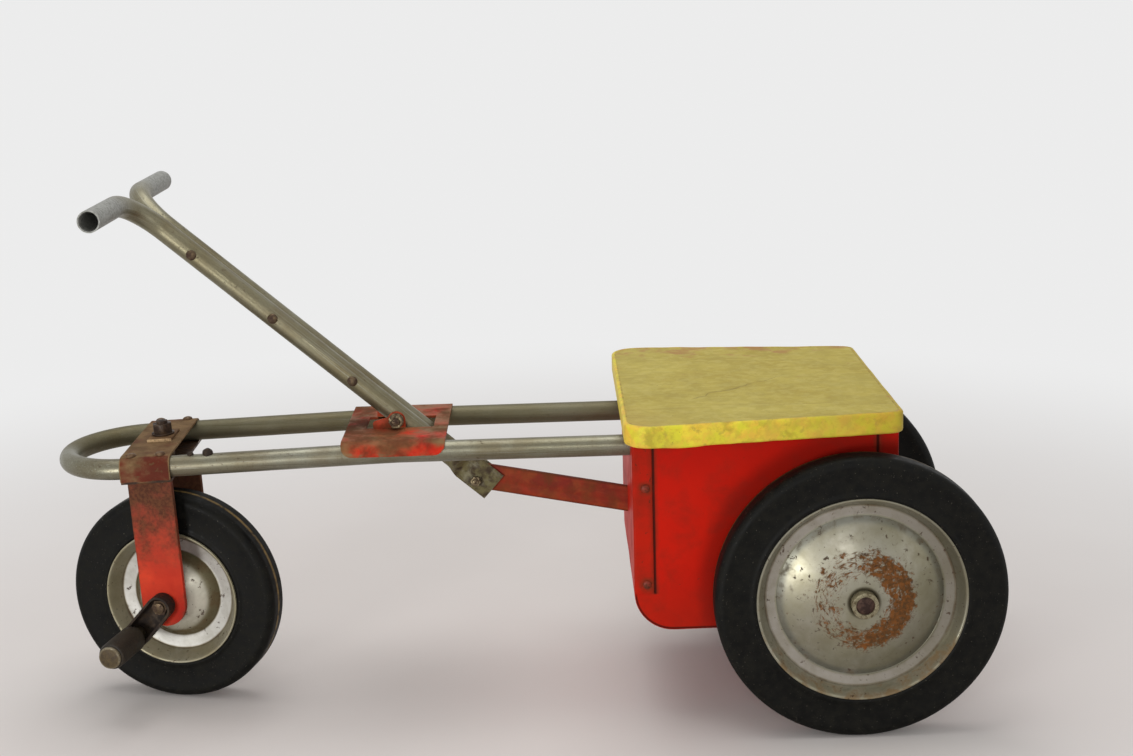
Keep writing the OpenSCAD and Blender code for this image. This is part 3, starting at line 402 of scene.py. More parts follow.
tube.rough = tube.blend(far_leg_shade, tube.rough, 0.55)
fit(polish(skin("frame_tube_skin", rings, lengths_of(path)), tube.finish(0.35, 0.0003, 0.25)), "frame_tube")


# Screws left on the near tube
# Two domed screws, a large and a small one, on top of the tube behind the fork bracket. They once
# held something that is gone, and are browned with rust.
def rusty(name, dark, light, amount=0.5, scale=220.0, metal=0.45):
    """Small steel parts that have gone brown, with some bare metal left on them."""
    s = Surface(name)
    brown, fine = s.patch(scale, amount, 0.12, 5), s.patch(scale * 5, 0.45, 0.15, 2)
    s.colour = s.blend(brown, light, dark)
    s.coat(fine, (46, 32, 24), 0.4)
    s.rough = s.blend(brown, 0.4, 0.75)
    s.metal = s.blend(brown, metal + 0.3, 0.1)
    s.height = noise_of(fine)
    return s.finish(0.5, 0.0003, 0.25)


def round_edges(made, width, angle):
    bevel = made.modifiers.new("rounded edges", "BEVEL")
    bevel.width, bevel.segments = width, 2
    bevel.limit_method, bevel.angle_limit = "ANGLE", math.radians(angle)


def settle(made, angle=40):
    """Applies the piece's modifiers, so that what is left is a plain mesh."""
    bpy.context.view_layer.update()
    ready = made.evaluated_get(bpy.context.evaluated_depsgraph_get())
    mesh = bpy.data.meshes.new_from_object(ready)
    made.modifiers.clear()
    made.data = mesh
    mesh.shade_smooth()
    mesh.set_sharp_from_angle(angle=math.radians(angle))
    return made


def join(main, *others):
    """One object of several."""
    work = bmesh.new()
    work.from_mesh(main.data)
    for other in others:
        work.from_mesh(other.data)
        bpy.data.objects.remove(other)
    work.to_mesh(main.data)
    work.free()
    return main


def dress(name, material, bevel=0.0004, angle=35):
    """A merged copy of a CAD node with its edges rounded."""
    made = bpy.data.objects.new(name + "_skin", frame["nodes"][name].data.copy())
    scene.collection.objects.link(made)
    work = bmesh.new()
    work.from_mesh(made.data)
    bmesh.ops.remove_doubles(work, verts=work.verts, dist=2e-6)
    bmesh.ops.dissolve_limit(work, angle_limit=math.radians(0.4), verts=work.verts, edges=work.edges)
    work.to_mesh(made.data)
    work.free()
    made.data.materials.clear()
    made.data.materials.append(material)
    round_edges(made, bevel, angle)
    return fit(settle(made, angle), name)


# Domed heads: one on every vertex, turned to the vertex's own direction and hammered a little uneven
wanted = {"Places": "Geometry", **dict.fromkeys(("Width", "Height", "Depth", "Uneven", "Seed"), "Float"),
          "Finish": "Material"}
domes, given, result = group("domed heads", wanted, {"Heads": "Geometry"}, "GeometryNodeTree")
asked = {item.name: item.identifier for item in domes.interface.items_tree}
half_width = calc(domes, "MULTIPLY", given["Width"], 0.5)
sizes = node(domes, "ShaderNodeCombineXYZ", {0: half_width, 1: half_width, 2: given["Height"]}).outputs[0]
ball = node(domes, "GeometryNodeMeshUVSphere", {"Segments": 24, "Rings": 14, "Radius": 1.0})
pressed = vector_calc(domes, "MULTIPLY", node(domes, "GeometryNodeInputPosition").outputs[0], sizes)
lowest = node(domes, "ShaderNodeCombineXYZ", {0: -1.0, 1: -1.0, 2: calc(domes, "MULTIPLY", given["Depth"], -1.0)})
dome = node(domes, "GeometryNodeSetPosition", {"Geometry": ball.outputs["Mesh"], "Position": vector_calc(
    domes, "MAXIMUM", pressed, lowest.outputs[0])})
outward = node(domes, "GeometryNodeInputNamedAttribute", {"Name": "out"}, data_type="FLOAT_VECTOR")
turned = node(domes, "FunctionNodeAlignRotationToVector", {"Vector": outward.outputs[0]}, axis="Z")
placed = node(domes, "GeometryNodeInstanceOnPoints", {"Points": given["Places"], "Instance": dome.outputs[0],
                                                      "Rotation": turned.outputs[0]})
real = node(domes, "GeometryNodeRealizeInstances", {"Geometry": placed.outputs[0]})
dents = node(domes, "ShaderNodeTexNoise", {"W": given["Seed"], "Scale": 260.0, "Detail": 1.0},
             noise_dimensions="4D").outputs["Color"]
push = node(domes, "ShaderNodeVectorMath", {0: vector_calc(domes, "SUBTRACT", dents, (0.5, 0.5, 0.5)),
                                            "Scale": given["Uneven"]}, operation="SCALE")
bent = node(domes, "GeometryNodeSetPosition", {"Geometry": real.outputs[0], "Offset": push.outputs[0]})
coated = node(domes, "GeometryNodeSetMaterial", {"Geometry": bent.outputs[0], "Material": given["Finish"]})
domes.links.new(coated.outputs[0], result[0])


def heads(name, material, *kinds):
    """Domed heads that stand for a node; each kind is (points, directions, width, height, depth)."""
    made = []
    for number, (points, directions, width, height, depth) in enumerate(kinds):
        part = add_mesh(name + "_skin", points, [])
        out = part.data.attributes.new("out", "FLOAT_VECTOR", "POINT")
        out.data.foreach_set("vector", [c for v in directions for c in v])
        build = part.modifiers.new("heads", "NODES")
        build.node_group = domes
        for label, value in (("Width", width), ("Height", height), ("Depth", depth), ("Uneven", height * 0.25),
                             ("Seed", 1.0 + number), ("Finish", material)):
            build[asked[label]] = value
        made.append(settle(part))
    return fit(join(*made), name)


rusty_bolt = rusty("rusty bolt", (62, 44, 33), (98, 82, 62))
up = kingpin_place.to_3x3() @ Vector((0, 0, 1))
heads("accessory_screws", rusty("dark rusty screw", (38, 30, 24), (62, 50, 38), 0.6),
      ([kingpin_place @ Vector((0.061, -HALF_GAP, TUBE_R))], [up], 0.011, 0.006, 0.0012),
      ([kingpin_place @ Vector((0.043, -HALF_GAP, TUBE_R))], [up], 0.007, 0.0035, 0.0006))


# Fork bracket
# A steel strap laid over both legs of the frame and rolled down round them, with a flat plate
# below, held by four rivets. Its red paint has almost gone and brown rust has taken its place.
def write_attribute(made, name, values):
    made.data.attributes.new(name, "FLOAT", "POINT").data.foreach_set("value", values)


def thicken(made, thickness, even=False):
    """Gives a sheet its thickness, inwards from the modelled face."""
    thick = made.modifiers.new("thickness", "SOLIDIFY")
    thick.thickness, thick.offset, thick.use_even_offset = thickness, -1, even


def sheet(name, rows, columns, point, material, thickness, wear, skip=lambda i, j: False, bevel=0.0005, wave=0.0,
          even=True, turned=False):
    """A pressed sheet: point(i, j) gives its outer face, skip(i, j) leaves a cell open, and wear(i, j)
    is 1 where the paint has suffered most. wave is how far it is bent, the same in every run. It is
    turned if rows and columns run the other way round."""
    cells = [(i, j) for i in range(rows) for j in range(columns)]
    verts = [point(i, j) for i, j in cells]
    if wave:
        verts = [v + Vector([noise.noise(v * 17 + Vector((0, 0, 9 * k))) for k in range(3)]) * wave for v in verts]
    faces = [face[::-1] if turned else face for face in strips(rows, columns, closed=False)
             if not skip(*divmod(face[0], columns))]
    made = add_mesh(name, verts, faces)
    write_attribute(made, "wear", [wear(i, j) for i, j in cells])
    made.data.materials.append(material)
    thicken(made, thickness, even)
    round_edges(made, bevel, 50)
    return settle(made)


STRAP = 0.0025
STRAP_R = TUBE_R + STRAP
ROLL = STRAP_R * math.pi / 2


def over_tubes(s, flange):
    """The point (y, z) at distance s along a strap rolled over both legs of the frame."""
    whole = 2 * (flange + ROLL + HALF_GAP)
    side = -1 if s < whole / 2 else 1
    s = min(s, whole - s) - flange
    if s < 0:
        return side * (HALF_GAP + STRAP_R), s
    if s < ROLL:
        return side * (HALF_GAP + STRAP_R * math.cos(s / STRAP_R)), STRAP_R * math.sin(s / STRAP_R)
    return side * (HALF_GAP + ROLL - s), STRAP_R


def stations(*stops):
    """Numbers from stop to stop, each pair of stops divided as the count between them says."""
    line = [stops[0]]
    for count, end in zip(stops[1::2], stops[2::2]):
        start = line[-1]
        line += [start + (end - start) * (n + 1) / count for n in range(count)]
    return line


s = Surface("fork bracket rust")
wear, mottle = s.attribute("wear"), s.patch(20.4, 0.5, 0.25, 4)
eaten = s.patch(34, s.calc("MULTIPLY_ADD", wear, 0.5, 0.58), 0.16, 9)
chips, dark, grain = s.patch(187, 0.26, 0.05, 21), s.patch(61.2, 0.42, 0.2, 31), s.patch(1100, 0.5, 0.3, 1)
s.colour = s.blend(mottle, (98, 38, 24), (80, 37, 24))
s.coat(eaten, s.blend(dark, (130, 104, 73), (94, 72, 48)))
s.coat(chips, (94, 72, 48), 0.7)
gone = s.most(eaten, chips)
s.rough = s.blend(gone, s.blend(mottle, 0.55, 0.67), 0.78)
s.height = s.blend(s.times(gone, 0.5), s.blend(gone, 0.75, 0.35), noise_of(grain))
bracket_rust = s.finish(0.5, 0.0004, 0.1)

SADDLE_DOWN = 0.011
SADDLE = 2 * (SADDLE_DOWN + ROLL + HALF_GAP)
x_line = stations(-0.0294, 2, -0.0280, 18, 0.0212, 2, 0.0226)
s_line = stations(0.0, 4, SADDLE_DOWN, 8, SADDLE_DOWN + ROLL, 28, SADDLE - SADDLE_DOWN - ROLL, 8,
                  SADDLE - SADDLE_DOWN, 4, SADDLE)


def saddle_point(i, j):
    """The strap's lower edges are a little ragged."""
    x, (y, z) = x_line[i], over_tubes(s_line[j], SADDLE_DOWN)
    if abs(y) > HALF_GAP + 0.010 and z < -0.006:
        z += noise.noise(Vector((x * 60, y * 9, 3))) * 0.0008
    return kingpin_place @ Vector((x, y, z))


def saddle_wear(i, j):
    """Most paint is left where the strap rolls down round the tube."""
    if i < 2 or i > len(x_line) - 3:
        return 0.8
    return -0.5 if min(s_line[j], SADDLE - s_line[j]) < SADDLE_DOWN + ROLL * 0.8 else 0.35


fit(sheet("fork_bracket_skin", len(x_line), len(s_line), saddle_point, bracket_rust, STRAP, saddle_wear,
          turned=True), "fork_bracket")
dress("bracket_base", rusty("bracket base rust", (58, 42, 32), (92, 64, 42), 0.55, 90.0))
s = Surface("stiffening plate rust and highlight", kingpin_place)
brown, chewed = s.patch(60, 0.5, 0.16, 6), s.patch(260, 0.66, 0.12, 16)
# A pale line along the plate's near edge is a painted highlight, broken where the edge is chewed.
near_edge_highlight = s.ramp(s.xyz()[1], -0.0206, -0.0212)
s.colour = s.blend(brown, (126, 98, 68), (92, 66, 44))
s.coat(near_edge_highlight, (196, 166, 126), chewed)
s.rough, s.height = 0.75, noise_of(chewed)
dress("kingpin_plate", s.finish(0.5, 0.0004, 0.1), 0.0006)
dress("kingpin_bush", rusty_bolt)
rivet_rust = rusty("rivet rust", (84, 60, 40), (116, 90, 62), 0.5, metal=-0.2)
RIVET_X, BASE_OUT, HEAD, HEAD_HIGH, SUNK = 0.015, TUBE_R + 0.003, 0.011, 0.003, 0.0003
strap_mid = (x_line[0] + x_line[-1]) / 2
rivets = [(strap_mid + x, y) for x in (-RIVET_X, RIVET_X) for y in (-HALF_GAP, HALF_GAP)]
heads("bracket_rivets", rivet_rust,
      *(([kingpin_place @ Vector((x, y, z)) for x, y in rivets], [out] * 4, HEAD, HEAD_HIGH, SUNK)
        for z, out in ((STRAP_R, up), (-BASE_OUT, -up))))


# Kingpin
# The steel bolt on which the fork turns, put in from below, with its nut and washer on top of the
# stiffening plate. All of it is crusted with dark rust.
crusted = rusty("crusted bolt", (38, 24, 14), (66, 47, 28), 0.5, 130.0, -0.25)
dress("kingpin", crusted)
dress("kingpin_nut", crusted, 0.0006)
dress("kingpin_washers", crusted, 0.0003)


# Lever bracket
# A second rolled strap with a slot for the lever and two ears for its pivot bolt. The top has gone
# brown and olive; red paint is left round the ears and, brightest, on the rolled edge.
s = Surface("lever bracket paint")
wear, (x, y, z) = s.attribute("wear"), s.xyz()
rolled = s.ramp(z, FRAME_Z + 0.0136, FRAME_Z + 0.0045)
toward_rear = s.ramp(x, PIVOT_X - 0.045, PIVOT_X - 0.015, 0.25, 1.0)
mottle = s.patch(32, 0.5, 0.22, 6)
red_part = s.patch(26, s.blend(s.times(rolled, toward_rear), 0.24, 0.56), 0.15, 14)
s.colour = s.blend(mottle, (146, 80, 50), (122, 96, 62))
s.coat(red_part, s.blend(mottle, (222, 34, 14), (150, 42, 26)))
s.coat(s.ramp(z, FRAME_Z + 0.0138, FRAME_Z + 0.0150), s.blend(mottle, (188, 60, 32), (142, 54, 34)), 0.8)
bare = s.patch(70, s.calc("ADD", s.times(wear, 0.3), 0.06), 0.08, 18)
s.coat(bare, (116, 98, 70), 0.7)
rusted = s.patch(42, s.ramp(toward_rear, 0.25, 1.0, 0.60, 0.45), 0.14, 23)
s.coat(rusted, (76, 46, 28), 0.7)
s.rough = s.blend(rusted, s.blend(bare, 0.45, 0.4), 0.75)
s.metal = s.times(bare, 0.4)
s.height = s.blend(s.most(bare, rusted), 0.7, 0.35)
bracket_paint = s.finish(0.5, 0.0004, 0.08)

BRACKET_DOWN, CORNER_FROM, CORNER_R = 0.001, 0.042, 0.012
SLOT_FRONT, SLOT_BACK, SLOT_HALF = -0.033, 0.039, 0.0235
x_line = stations(-0.054, 2, -0.0525, 5, -CORNER_FROM, 3, SLOT_FRONT, 12, SLOT_BACK, 2, CORNER_FROM,
                  4, 0.0525, 2, 0.054)
inner = stations(0.0, 9, 1.0)
mid = stations(-HALF_GAP, 12, -SLOT_HALF, 6, SLOT_HALF, 12, HALF_GAP)[1:-1]
count = 2 * len(inner) + len(mid)


def bracket_point(i, j):
    """The rolled edges rise in a round corner at the bracket's ends."""
    x, n = x_line[i], len(inner)
    over = max(0.0, abs(x) - CORNER_FROM)
    z_low = CORNER_R - BRACKET_DOWN - math.sqrt(max(0.0, CORNER_R ** 2 - over ** 2))
    if z_low < 0:
        s_low = z_low + BRACKET_DOWN
    else:
        s_low = BRACKET_DOWN + STRAP_R * math.asin(min(1, z_low / STRAP_R))
    if n <= j < n + len(mid):
        return Vector((PIVOT_X + x, mid[j - n], FRAME_Z + STRAP_R))
    y, z = over_tubes(s_low + (BRACKET_DOWN + ROLL - s_low) * inner[j if j < n else count - 1 - j], BRACKET_DOWN)
    return Vector((PIVOT_X + x, y if j < n else -y, FRAME_Z + z))


def bracket_wear(i, j):
    return 1.0 if i < 2 or i > len(x_line) - 3 or j < 2 or j > count - 3 else 0.2


def in_slot(i, j):
    y0, y1 = bracket_point(0, j).y, bracket_point(0, j + 1).y
    return (x_line[i] >= SLOT_FRONT - 0.0001 and x_line[i + 1] <= SLOT_BACK + 0.0001
            and y0 >= -SLOT_HALF - 0.00001 and y1 <= SLOT_HALF + 0.00001)


plate = sheet("lever_bracket_skin", len(x_line), count, bracket_point, bracket_paint, STRAP, bracket_wear, in_slot,
              turned=True)


def flat_plate(name, outline, depth, material, origin):
    """An outline in x and z, thick along y from the origin."""
    work = bmesh.new()
    work.faces.new([work.verts.new((x, 0, z)) for x, z in outline])
    extruded = bmesh.ops.extrude_face_region(work, geom=work.faces[:])
    for v in extruded["geom"]:
        if isinstance(v, bmesh.types.BMVert):
            v.co.y += depth
    bmesh.ops.recalc_face_normals(work, faces=work.faces)
    made = add_mesh(name, [], [])
    work.to_mesh(made.data)
    work.free()
    made.data.transform(Matrix.Translation(origin))
    made.data.materials.append(material)
    round_edges(made, 0.0005, 40)
    return settle(made)


def arc_points(x, z, r, a, b, n=8):
    angles = [math.radians(a + (b - a) * k / n) for k in range(n + 1)]
    return [(x + r * math.cos(t), z + r * math.sin(t)) for t in angles]


ear_outline = [(-0.025, 0.0112), (-0.025, 0.0185), *arc_points(-0.0215, 0.0185, 0.0035, 180, 100, 4),
               *arc_points(0, 0.022, 0.0095, 158, 0, 14), (0.0095, 0.0112)]
ears = [flat_plate("ear_%d" % k, ear_outline, STRAP, bracket_paint, (PIVOT_X, y, FRAME_Z))
        for k, y in enumerate((-SLOT_HALF - STRAP, SLOT_HALF))]
fit(join(plate, *ears), "lever_bracket")


# Lever pivot
# An 8 mm steel bolt put through both ears and both lever tubes, with washers and a dull nut on the
# rider's left.
steel_nut = rusty("dull nut", (68, 52, 36), (140, 126, 98))
dress("pivot_bolt", rusty_bolt)
dress("pivot_nut", steel_nut, 0.0006)
dress("pivot_washers", steel_nut, 0.0002)


# Seat box
# A box of thin sheet under the seat: one sheet makes front, bottom and rear and laps 20 mm over the
# two side panels, where it is riveted. Bright red paint, browned by dirt along the laps and low down.
BOX_FRONT, BOX_BACK, BOX_HALF, BOX_LOW, BOX_TOP, BOX_R = -0.226, 0.044, 0.125, 0.104, 0.314, 0.040
LAP, FOLD_R, SHEET, AXLE_Z = 0.020, 0.0022, 0.0012, 0.148
RIVET_IN, RIVET_LOW, RIVET_PITCH = 0.013, 0.154, 0.103
lap_front, lap_back = REAR_X + BOX_FRONT + LAP, REAR_X + BOX_BACK - LAP
s = Surface("box paint")
wear, (x, y, z) = s.attribute("wear"), s.xyz()
mottle = s.patch(12, 0.45, 0.3, 2)
s.colour = s.blend(mottle, (200, 27, 8), (180, 22, 7))
s.coat(s.ramp(z, 0.23, BOX_TOP), (160, 15, 6), 0.5)
s.coat(s.most(s.ramp(z, 0.160, 0.120), s.ramp(x, lap_front, lap_front - 0.001)), (96, 40, 16), 0.18)
grime = s.patch(38, s.calc("ADD", s.times(wear, 0.34), 0.2), 0.2, 3)
s.coat(grime, (104, 36, 20), 0.5)
# A dark band on the sides round the rear tyre: a painted shadow of the tyre.
s.coat(s.ramp(s.radius((REAR_X, 0, AXLE_Z)), 0.168, 0.150, smooth=True), (96, 18, 10), 0.5)
chips = s.patch(230, s.calc("ADD", s.times(wear, 0.12), 0.06), 0.03, 41)
s.coat(chips, (78, 38, 24), 0.85)
# Dark lines in the seams beside the laps, painted shade of the laps' edges with dirt in it, and a brown stain
# along them
above = s.ramp(z, BOX_LOW + BOX_R - 0.002, BOX_LOW + BOX_R)
outside = s.calc("GREATER_THAN", s.calc("ABSOLUTE", y), BOX_HALF - 0.003)
seam_dirt_and_shade, beside = (s.times(s.most(s.between(x, lap_front - on, lap_front + off, soft),
                               s.between(x, lap_back - off, lap_back + on, soft)), above, outside)
                for on, off, soft in ((0.0, 0.0026, 0.0008), (0.002, 0.005, 0.002)))
s.coat(s.times(beside, s.patch(30, 0.72, 0.16, 53)), (104, 40, 22), 0.55)
s.coat(seam_dirt_and_shade, (48, 16, 10), 0.9)
# A brown stain round each rivet, and a dark line inside the rounded lower edge of the sides
from_rivet = s.length(*(s.calc("MINIMUM", s.off(value, one), s.off(value, other)) for value, one, other in (
    (x, REAR_X + BOX_FRONT + RIVET_IN, REAR_X + BOX_BACK - RIVET_IN), (z, RIVET_LOW, RIVET_LOW + RIVET_PITCH))))
s.coat(s.times(s.ramp(from_rivet, 0.0095, 0.0050), outside, s.patch(120, 0.66, 0.14, 63)), (92, 44, 24), 0.7)
reach = s.length(*(s.most(s.calc("SUBTRACT", s.off(value, at), half - BOX_R), 0.0) for value, at, half in (
    (x, REAR_X + (BOX_FRONT + BOX_BACK) / 2, (BOX_BACK - BOX_FRONT) / 2), (z, BOX_TOP, BOX_TOP - BOX_LOW))))
s.coat(s.times(s.between(reach, BOX_R - 0.0024, BOX_R - 0.0006, 0.0006),
               s.ramp(z, BOX_LOW + BOX_R, BOX_LOW + BOX_R - 0.004)), (64, 20, 12), 0.75)
s.rough = s.blend(s.most(grime, chips), s.blend(mottle, 0.4, 0.5), 0.7)
s.height = s.blend(chips, 0.7, 0.4)
box_paint = s.finish(0.35, 0.0003, 0.08)


def box_line(inset=0.0):
    """The box's outline (x, z) from the top of its front, under it and up its rear."""
    x0, x1, z0, r = BOX_FRONT + inset, BOX_BACK - inset, BOX_LOW + inset, BOX_R - inset
    return ([(x0, z) for z in stations(BOX_TOP, 24, z0 + r)] + arc_points(x0 + r, z0 + r, r, 180, 270, 12)[1:]
            + [(x, z0) for x in stations(x0 + r, 20, x1 - r)][1:] + arc_points(x1 - r, z0 + r, r, 270, 360, 12)[1:]
            + [(x1, z) for z in stations(z0 + r, 24, BOX_TOP)][1:])


WALL_ROWS = 25
outline = box_line()
across = [(kind, value) for kind, *stops in (("lap", 1.0, 6, 0.0), ("turn", 0.2, 3, 0.8), ("wall", -1.0, 28, 1.0),
                                             ("turn", 0.8, 4, 0.0), ("lap", 1 / 6, 5, 1.0))
          for value in stations(*stops)]


def wrap_point(i, j):
    """Front and rear walls turn round their upright edges into the laps; the bottom just ends there."""
    (x, z), (kind, value) = outline[i], across[j]
    side = -1 if j < len(across) // 2 else 1
    upright = i < WALL_ROWS or i >= len(outline) - WALL_ROWS
    out = -1 if i < WALL_ROWS else 1
    if kind == "wall":
        return Vector((REAR_X + x, value * (BOX_HALF - FOLD_R), z))
    if not upright:
        return Vector((REAR_X + x, side * (BOX_HALF - FOLD_R * (value if kind == "turn" else 0)), z))
    if kind == "turn":
        a = value * math.pi / 2
        return Vector((REAR_X + x - out * FOLD_R * (1 - math.sin(a)),
                       side * (BOX_HALF - FOLD_R * (1 - math.cos(a))), z))
    return Vector((REAR_X + x - out * (FOLD_R + value * (LAP - FOLD_R)), side * BOX_HALF, z))


def wrap_wear(i, j):
    kind, value = across[j]
    if kind == "lap":
        return 1.0 if value > 0.8 else 0.45
    return 0.9 if kind == "turn" else 0.3 if i < 3 or i > len(outline) - 4 else 0.1


def wrap_skip(i, j):
    straight = i + 1 < WALL_ROWS or i >= len(outline) - WALL_ROWS
    return "lap" in (across[j][0], across[j + 1][0]) and not straight


fit(sheet("box_wrap_skin", len(outline), len(across), wrap_point, box_paint, SHEET, wrap_wear, wrap_skip, 0.0003,
          wave=0.0005, even=False), "box_wrap")


def panel(name, side):
    """A side panel: the box's outline, filled, a little dented, just inside the laps."""
    line = box_line(SHEET)
    middle = Vector((REAR_X + (BOX_FRONT + BOX_BACK) / 2, side * (BOX_HALF - SHEET), 0.214))
    scales = stations(1.0, 2, 0.985, 14, 0.08)
    verts = []
    for x, z in line:
        for s in scales:
            p = middle + Vector((REAR_X + x - middle.x, 0, z - middle.z)) * s
            dent = noise.noise(p * 11 + Vector((side * 3, 0, 0))) * 0.0007 - 0.0006
            verts.append(p + Vector((0, side * dent * (1 - s) ** 0.5, 0)))
    loop, n = len(line), len(scales)
    faces = [[v % (loop * n) for v in face[::-1]] for face in strips(loop + 1, n, closed=False)]
    faces += [(i * n + n - 1, (i + 1) % loop * n + n - 1, loop * n) for i in range(loop)]
    made = add_mesh(name, verts + [middle - Vector((0, side * 0.0004, 0))],
                    [face[::-1] if side > 0 else face for face in faces])
    write_attribute(made, "wear", ([0.85, 0.5] + [0.05] * (n - 2)) * loop + [0.0])
    made.data.materials.append(box_paint)
    thicken(made, SHEET)
    return settle(made)


fit(panel("box_side_left_skin", -1), "box_side_left")
fit(panel("box_side_right_skin", 1), "box_side_right")
places = [(REAR_X + x, side, RIVET_LOW + k * RIVET_PITCH) for side in (-1, 1) for k in (0, 1)
          for x in (BOX_FRONT + RIVET_IN, BOX_BACK - RIVET_IN)]
outer_and_inner = ((BOX_HALF, 1, 0.009, 0.002), (BOX_HALF - 2 * SHEET, -1, 0.007, 0.0015))
heads("box_rivets", rusty("box rivet rust", (92, 42, 24), (140, 44, 24), 0.55, metal=-0.3), *((
    [Vector((x, side * at, z)) for x, side, z in places], [Vector((0, side * out, 0)) for x, side, z in places],
    width, height, 0.0002) for at, out, width, height in outer_and_inner))
dress("bush_rivets", rivet_rust, 0.0002)
dress("axle_bush_left", rusty_bolt)
dress("axle_bush_right", rusty_bolt)


# Seat board
# A board of solid wood, wider at the front, sawn with round corners and painted yellow. Sitting has
# dulled the top to olive and a fine crack runs across it; the edges are brighter and uneven below.
SEAT_TOP, SEAT_LOW, TOP_R, LOW_R = 0.337, 0.314, 0.003, 0.0035


def round_corners(points, radii, n=10):
    """A closed outline with an arc in place of each corner."""
    line = []
    for i, corner in enumerate(points):
        r, p = radii[i], Vector(corner)
        u, v = ((Vector(other) - p).normalized() for other in (points[i - 1], points[(i + 1) % len(points)]))
        half = u.angle(v) / 2
        c = p + (u + v).normalized() * r / math.sin(half)
        first, last = (p + way * r / math.tan(half) - c for way in (u, v))
        start = math.atan2(first.y, first.x)
        turn = (math.atan2(last.y, last.x) - start + math.pi) % math.tau - math.pi
        angles = [start + turn * k / n for k in range(n + 1)]
        line += [c + Vector((r * math.cos(a), r * math.sin(a))) for a in angles]
    return line


def resample(line, count):
    """The same closed line with evenly spaced points."""
    lengths = lengths_of(line + line[:1])
    out, k = [], 0
    for n in range(count):
        s = lengths[-1] * n / count
        while lengths[k + 1] < s:
            k += 1
        t = (s - lengths[k]) / max(1e-9, lengths[k + 1] - lengths[k])
        out.append(line[k].lerp(line[(k + 1) % len(line)], t))
    return out


front, back, front_half, back_half = REAR_X - 0.235, REAR_X + 0.044, 0.1855, 0.1535
rim = resample(round_corners([(front, -front_half), (back, -back_half), (back, back_half), (front, front_half)],
                             [0.024, 0.012, 0.012, 0.030]), 260)
middle, reach_in = Vector((REAR_X - 0.095, 0)), 0.16
quarter = [math.radians(18 * k) for k in range(6)]
rings = [(inset, SEAT_LOW, "under") for inset in (0.14, 0.1, 0.06, 0.03, 0.012)]
rings += [(LOW_R * (1 - math.sin(a)), SEAT_LOW + LOW_R * (1 - math.cos(a)), "low") for a in quarter]
rings += [(0.0, z, "side") for z in stations(SEAT_LOW + LOW_R, 4, SEAT_TOP - TOP_R)[1:-1]]
rings += [(TOP_R * (1 - math.cos(a)), SEAT_TOP - TOP_R * (1 - math.sin(a)), "top") for a in quarter]
rings += [(inset, SEAT_TOP, "face") for inset in stations(0.006, 2, 0.012, 3, 0.03, 8, 0.15)]
BULGE_X, BULGE_WIDE, BULGE = 0.168, 0.022, 0.0012


def uneven(x, y, scale, seed):
    return noise.noise(Vector((x * scale, y * scale, seed)))


verts, worn = [], []
for inset, z, kind in rings:
    for p in rim:
        q = middle + (p - middle) * (1 - inset / reach_in) if inset else p
        wob = uneven(p.x, p.y, 28, 1) * 0.5 + 0.5
        bulge = BULGE * max(0.0, 1 - ((p.x - BULGE_X) / BULGE_WIDE) ** 2) if p.y < -0.1 else 0.0
        lift = 0.0
        if kind in ("low", "side"):
            lift = (SEAT_TOP - z) / 0.023 * (0.0004 * wob + 0.0003 * uneven(p.x, p.y, 110, 5) - bulge)
        elif kind == "under" and inset < 0.02:
            lift = 0.0004 * wob - bulge
        elif kind == "face":
            lift = uneven(q.x, q.y, 9, 9) * 0.0006 - 0.0008
        elif kind == "top":
            lift = uneven(p.x, p.y, 40, 12) * 0.0004 - 0.0004
        verts.append(Vector((q.x, q.y, z + lift)))
        worn.append({"under": 0.4, "low": 0.9, "side": 0.55, "top": 0.8, "face": max(0.0, 0.6 - inset * 30)}[kind])
count, total = len(rim), len(verts)
faces = strips(len(rings), count)
for k in range(count):
    m = (k + 1) % count
    faces += [(m, k, total), (total - count + k, total - count + m, total + 1)]
verts += [Vector((middle.x, 0, SEAT_LOW)), Vector((middle.x, 0, SEAT_TOP - 0.0008))]
seat = add_mesh("seat_board_skin", verts, faces)
write_attribute(seat, "wear", worn + [0.0, 0.0])
write_attribute(seat, "top", [float(kind == "face") for inset, z, kind in rings for p in rim] + [0.0, 1.0])

s = Surface("seat paint")
wear, top_face, (x, y, z) = s.attribute("wear"), s.attribute("top"), s.xyz()
cloudy, fibre, flaked = s.patch(11, 0.5, 0.3, 5), s.scratch(700, 16, 0.4), s.patch(130, 0.4, 0.06, 93)
# The edges darken towards the rear.
darker_to_rear = s.ramp(x, REAR_X - 0.10, REAR_X + 0.044)
s.colour = s.blend(cloudy, (236, 212, 62), (220, 200, 70))
s.coat(s.patch(48, 0.5, 0.1, 51), (226, 176, 66), 0.75)
s.coat(s.patch(64, 0.45, 0.09, 57), (210, 208, 50), 0.7)
s.coat(flaked, (190, 160, 52), 0.35)
s.coat(s.patch(40, 0.25, 0.06, 83), (162, 142, 40), 0.6)
s.coat(darker_to_rear, (144, 118, 36), 0.55)
edge_colour = s.colour
near_front = s.ramp(s.calc("MULTIPLY_ADD", x, 1.4, y), 0.10, -0.02)
s.colour = s.blend(cloudy, (194, 178, 88), (172, 152, 62))
s.coat(s.scratch(210, 6, 0.5), (148, 124, 46), 0.34)
s.coat(fibre, (208, 196, 112), 0.4)
s.coat(s.patch(60, 0.5, 0.08, 71), (146, 128, 44), 0.22)
s.coat(s.patch(90, 0.42, 0.08, 77), (212, 200, 124), 0.22)
s.coat(near_front, (172, 134, 66), 0.4)
s.colour = s.blend(top_face, edge_colour, s.colour)
s.coat(s.between(top_face, 0.25, 0.8, 0.2), (136, 110, 36), s.blend(flaked, 0.35, 0.8))
s.coat(s.patch(26, 0.34, 0.2, 8), (158, 142, 70), 0.4)
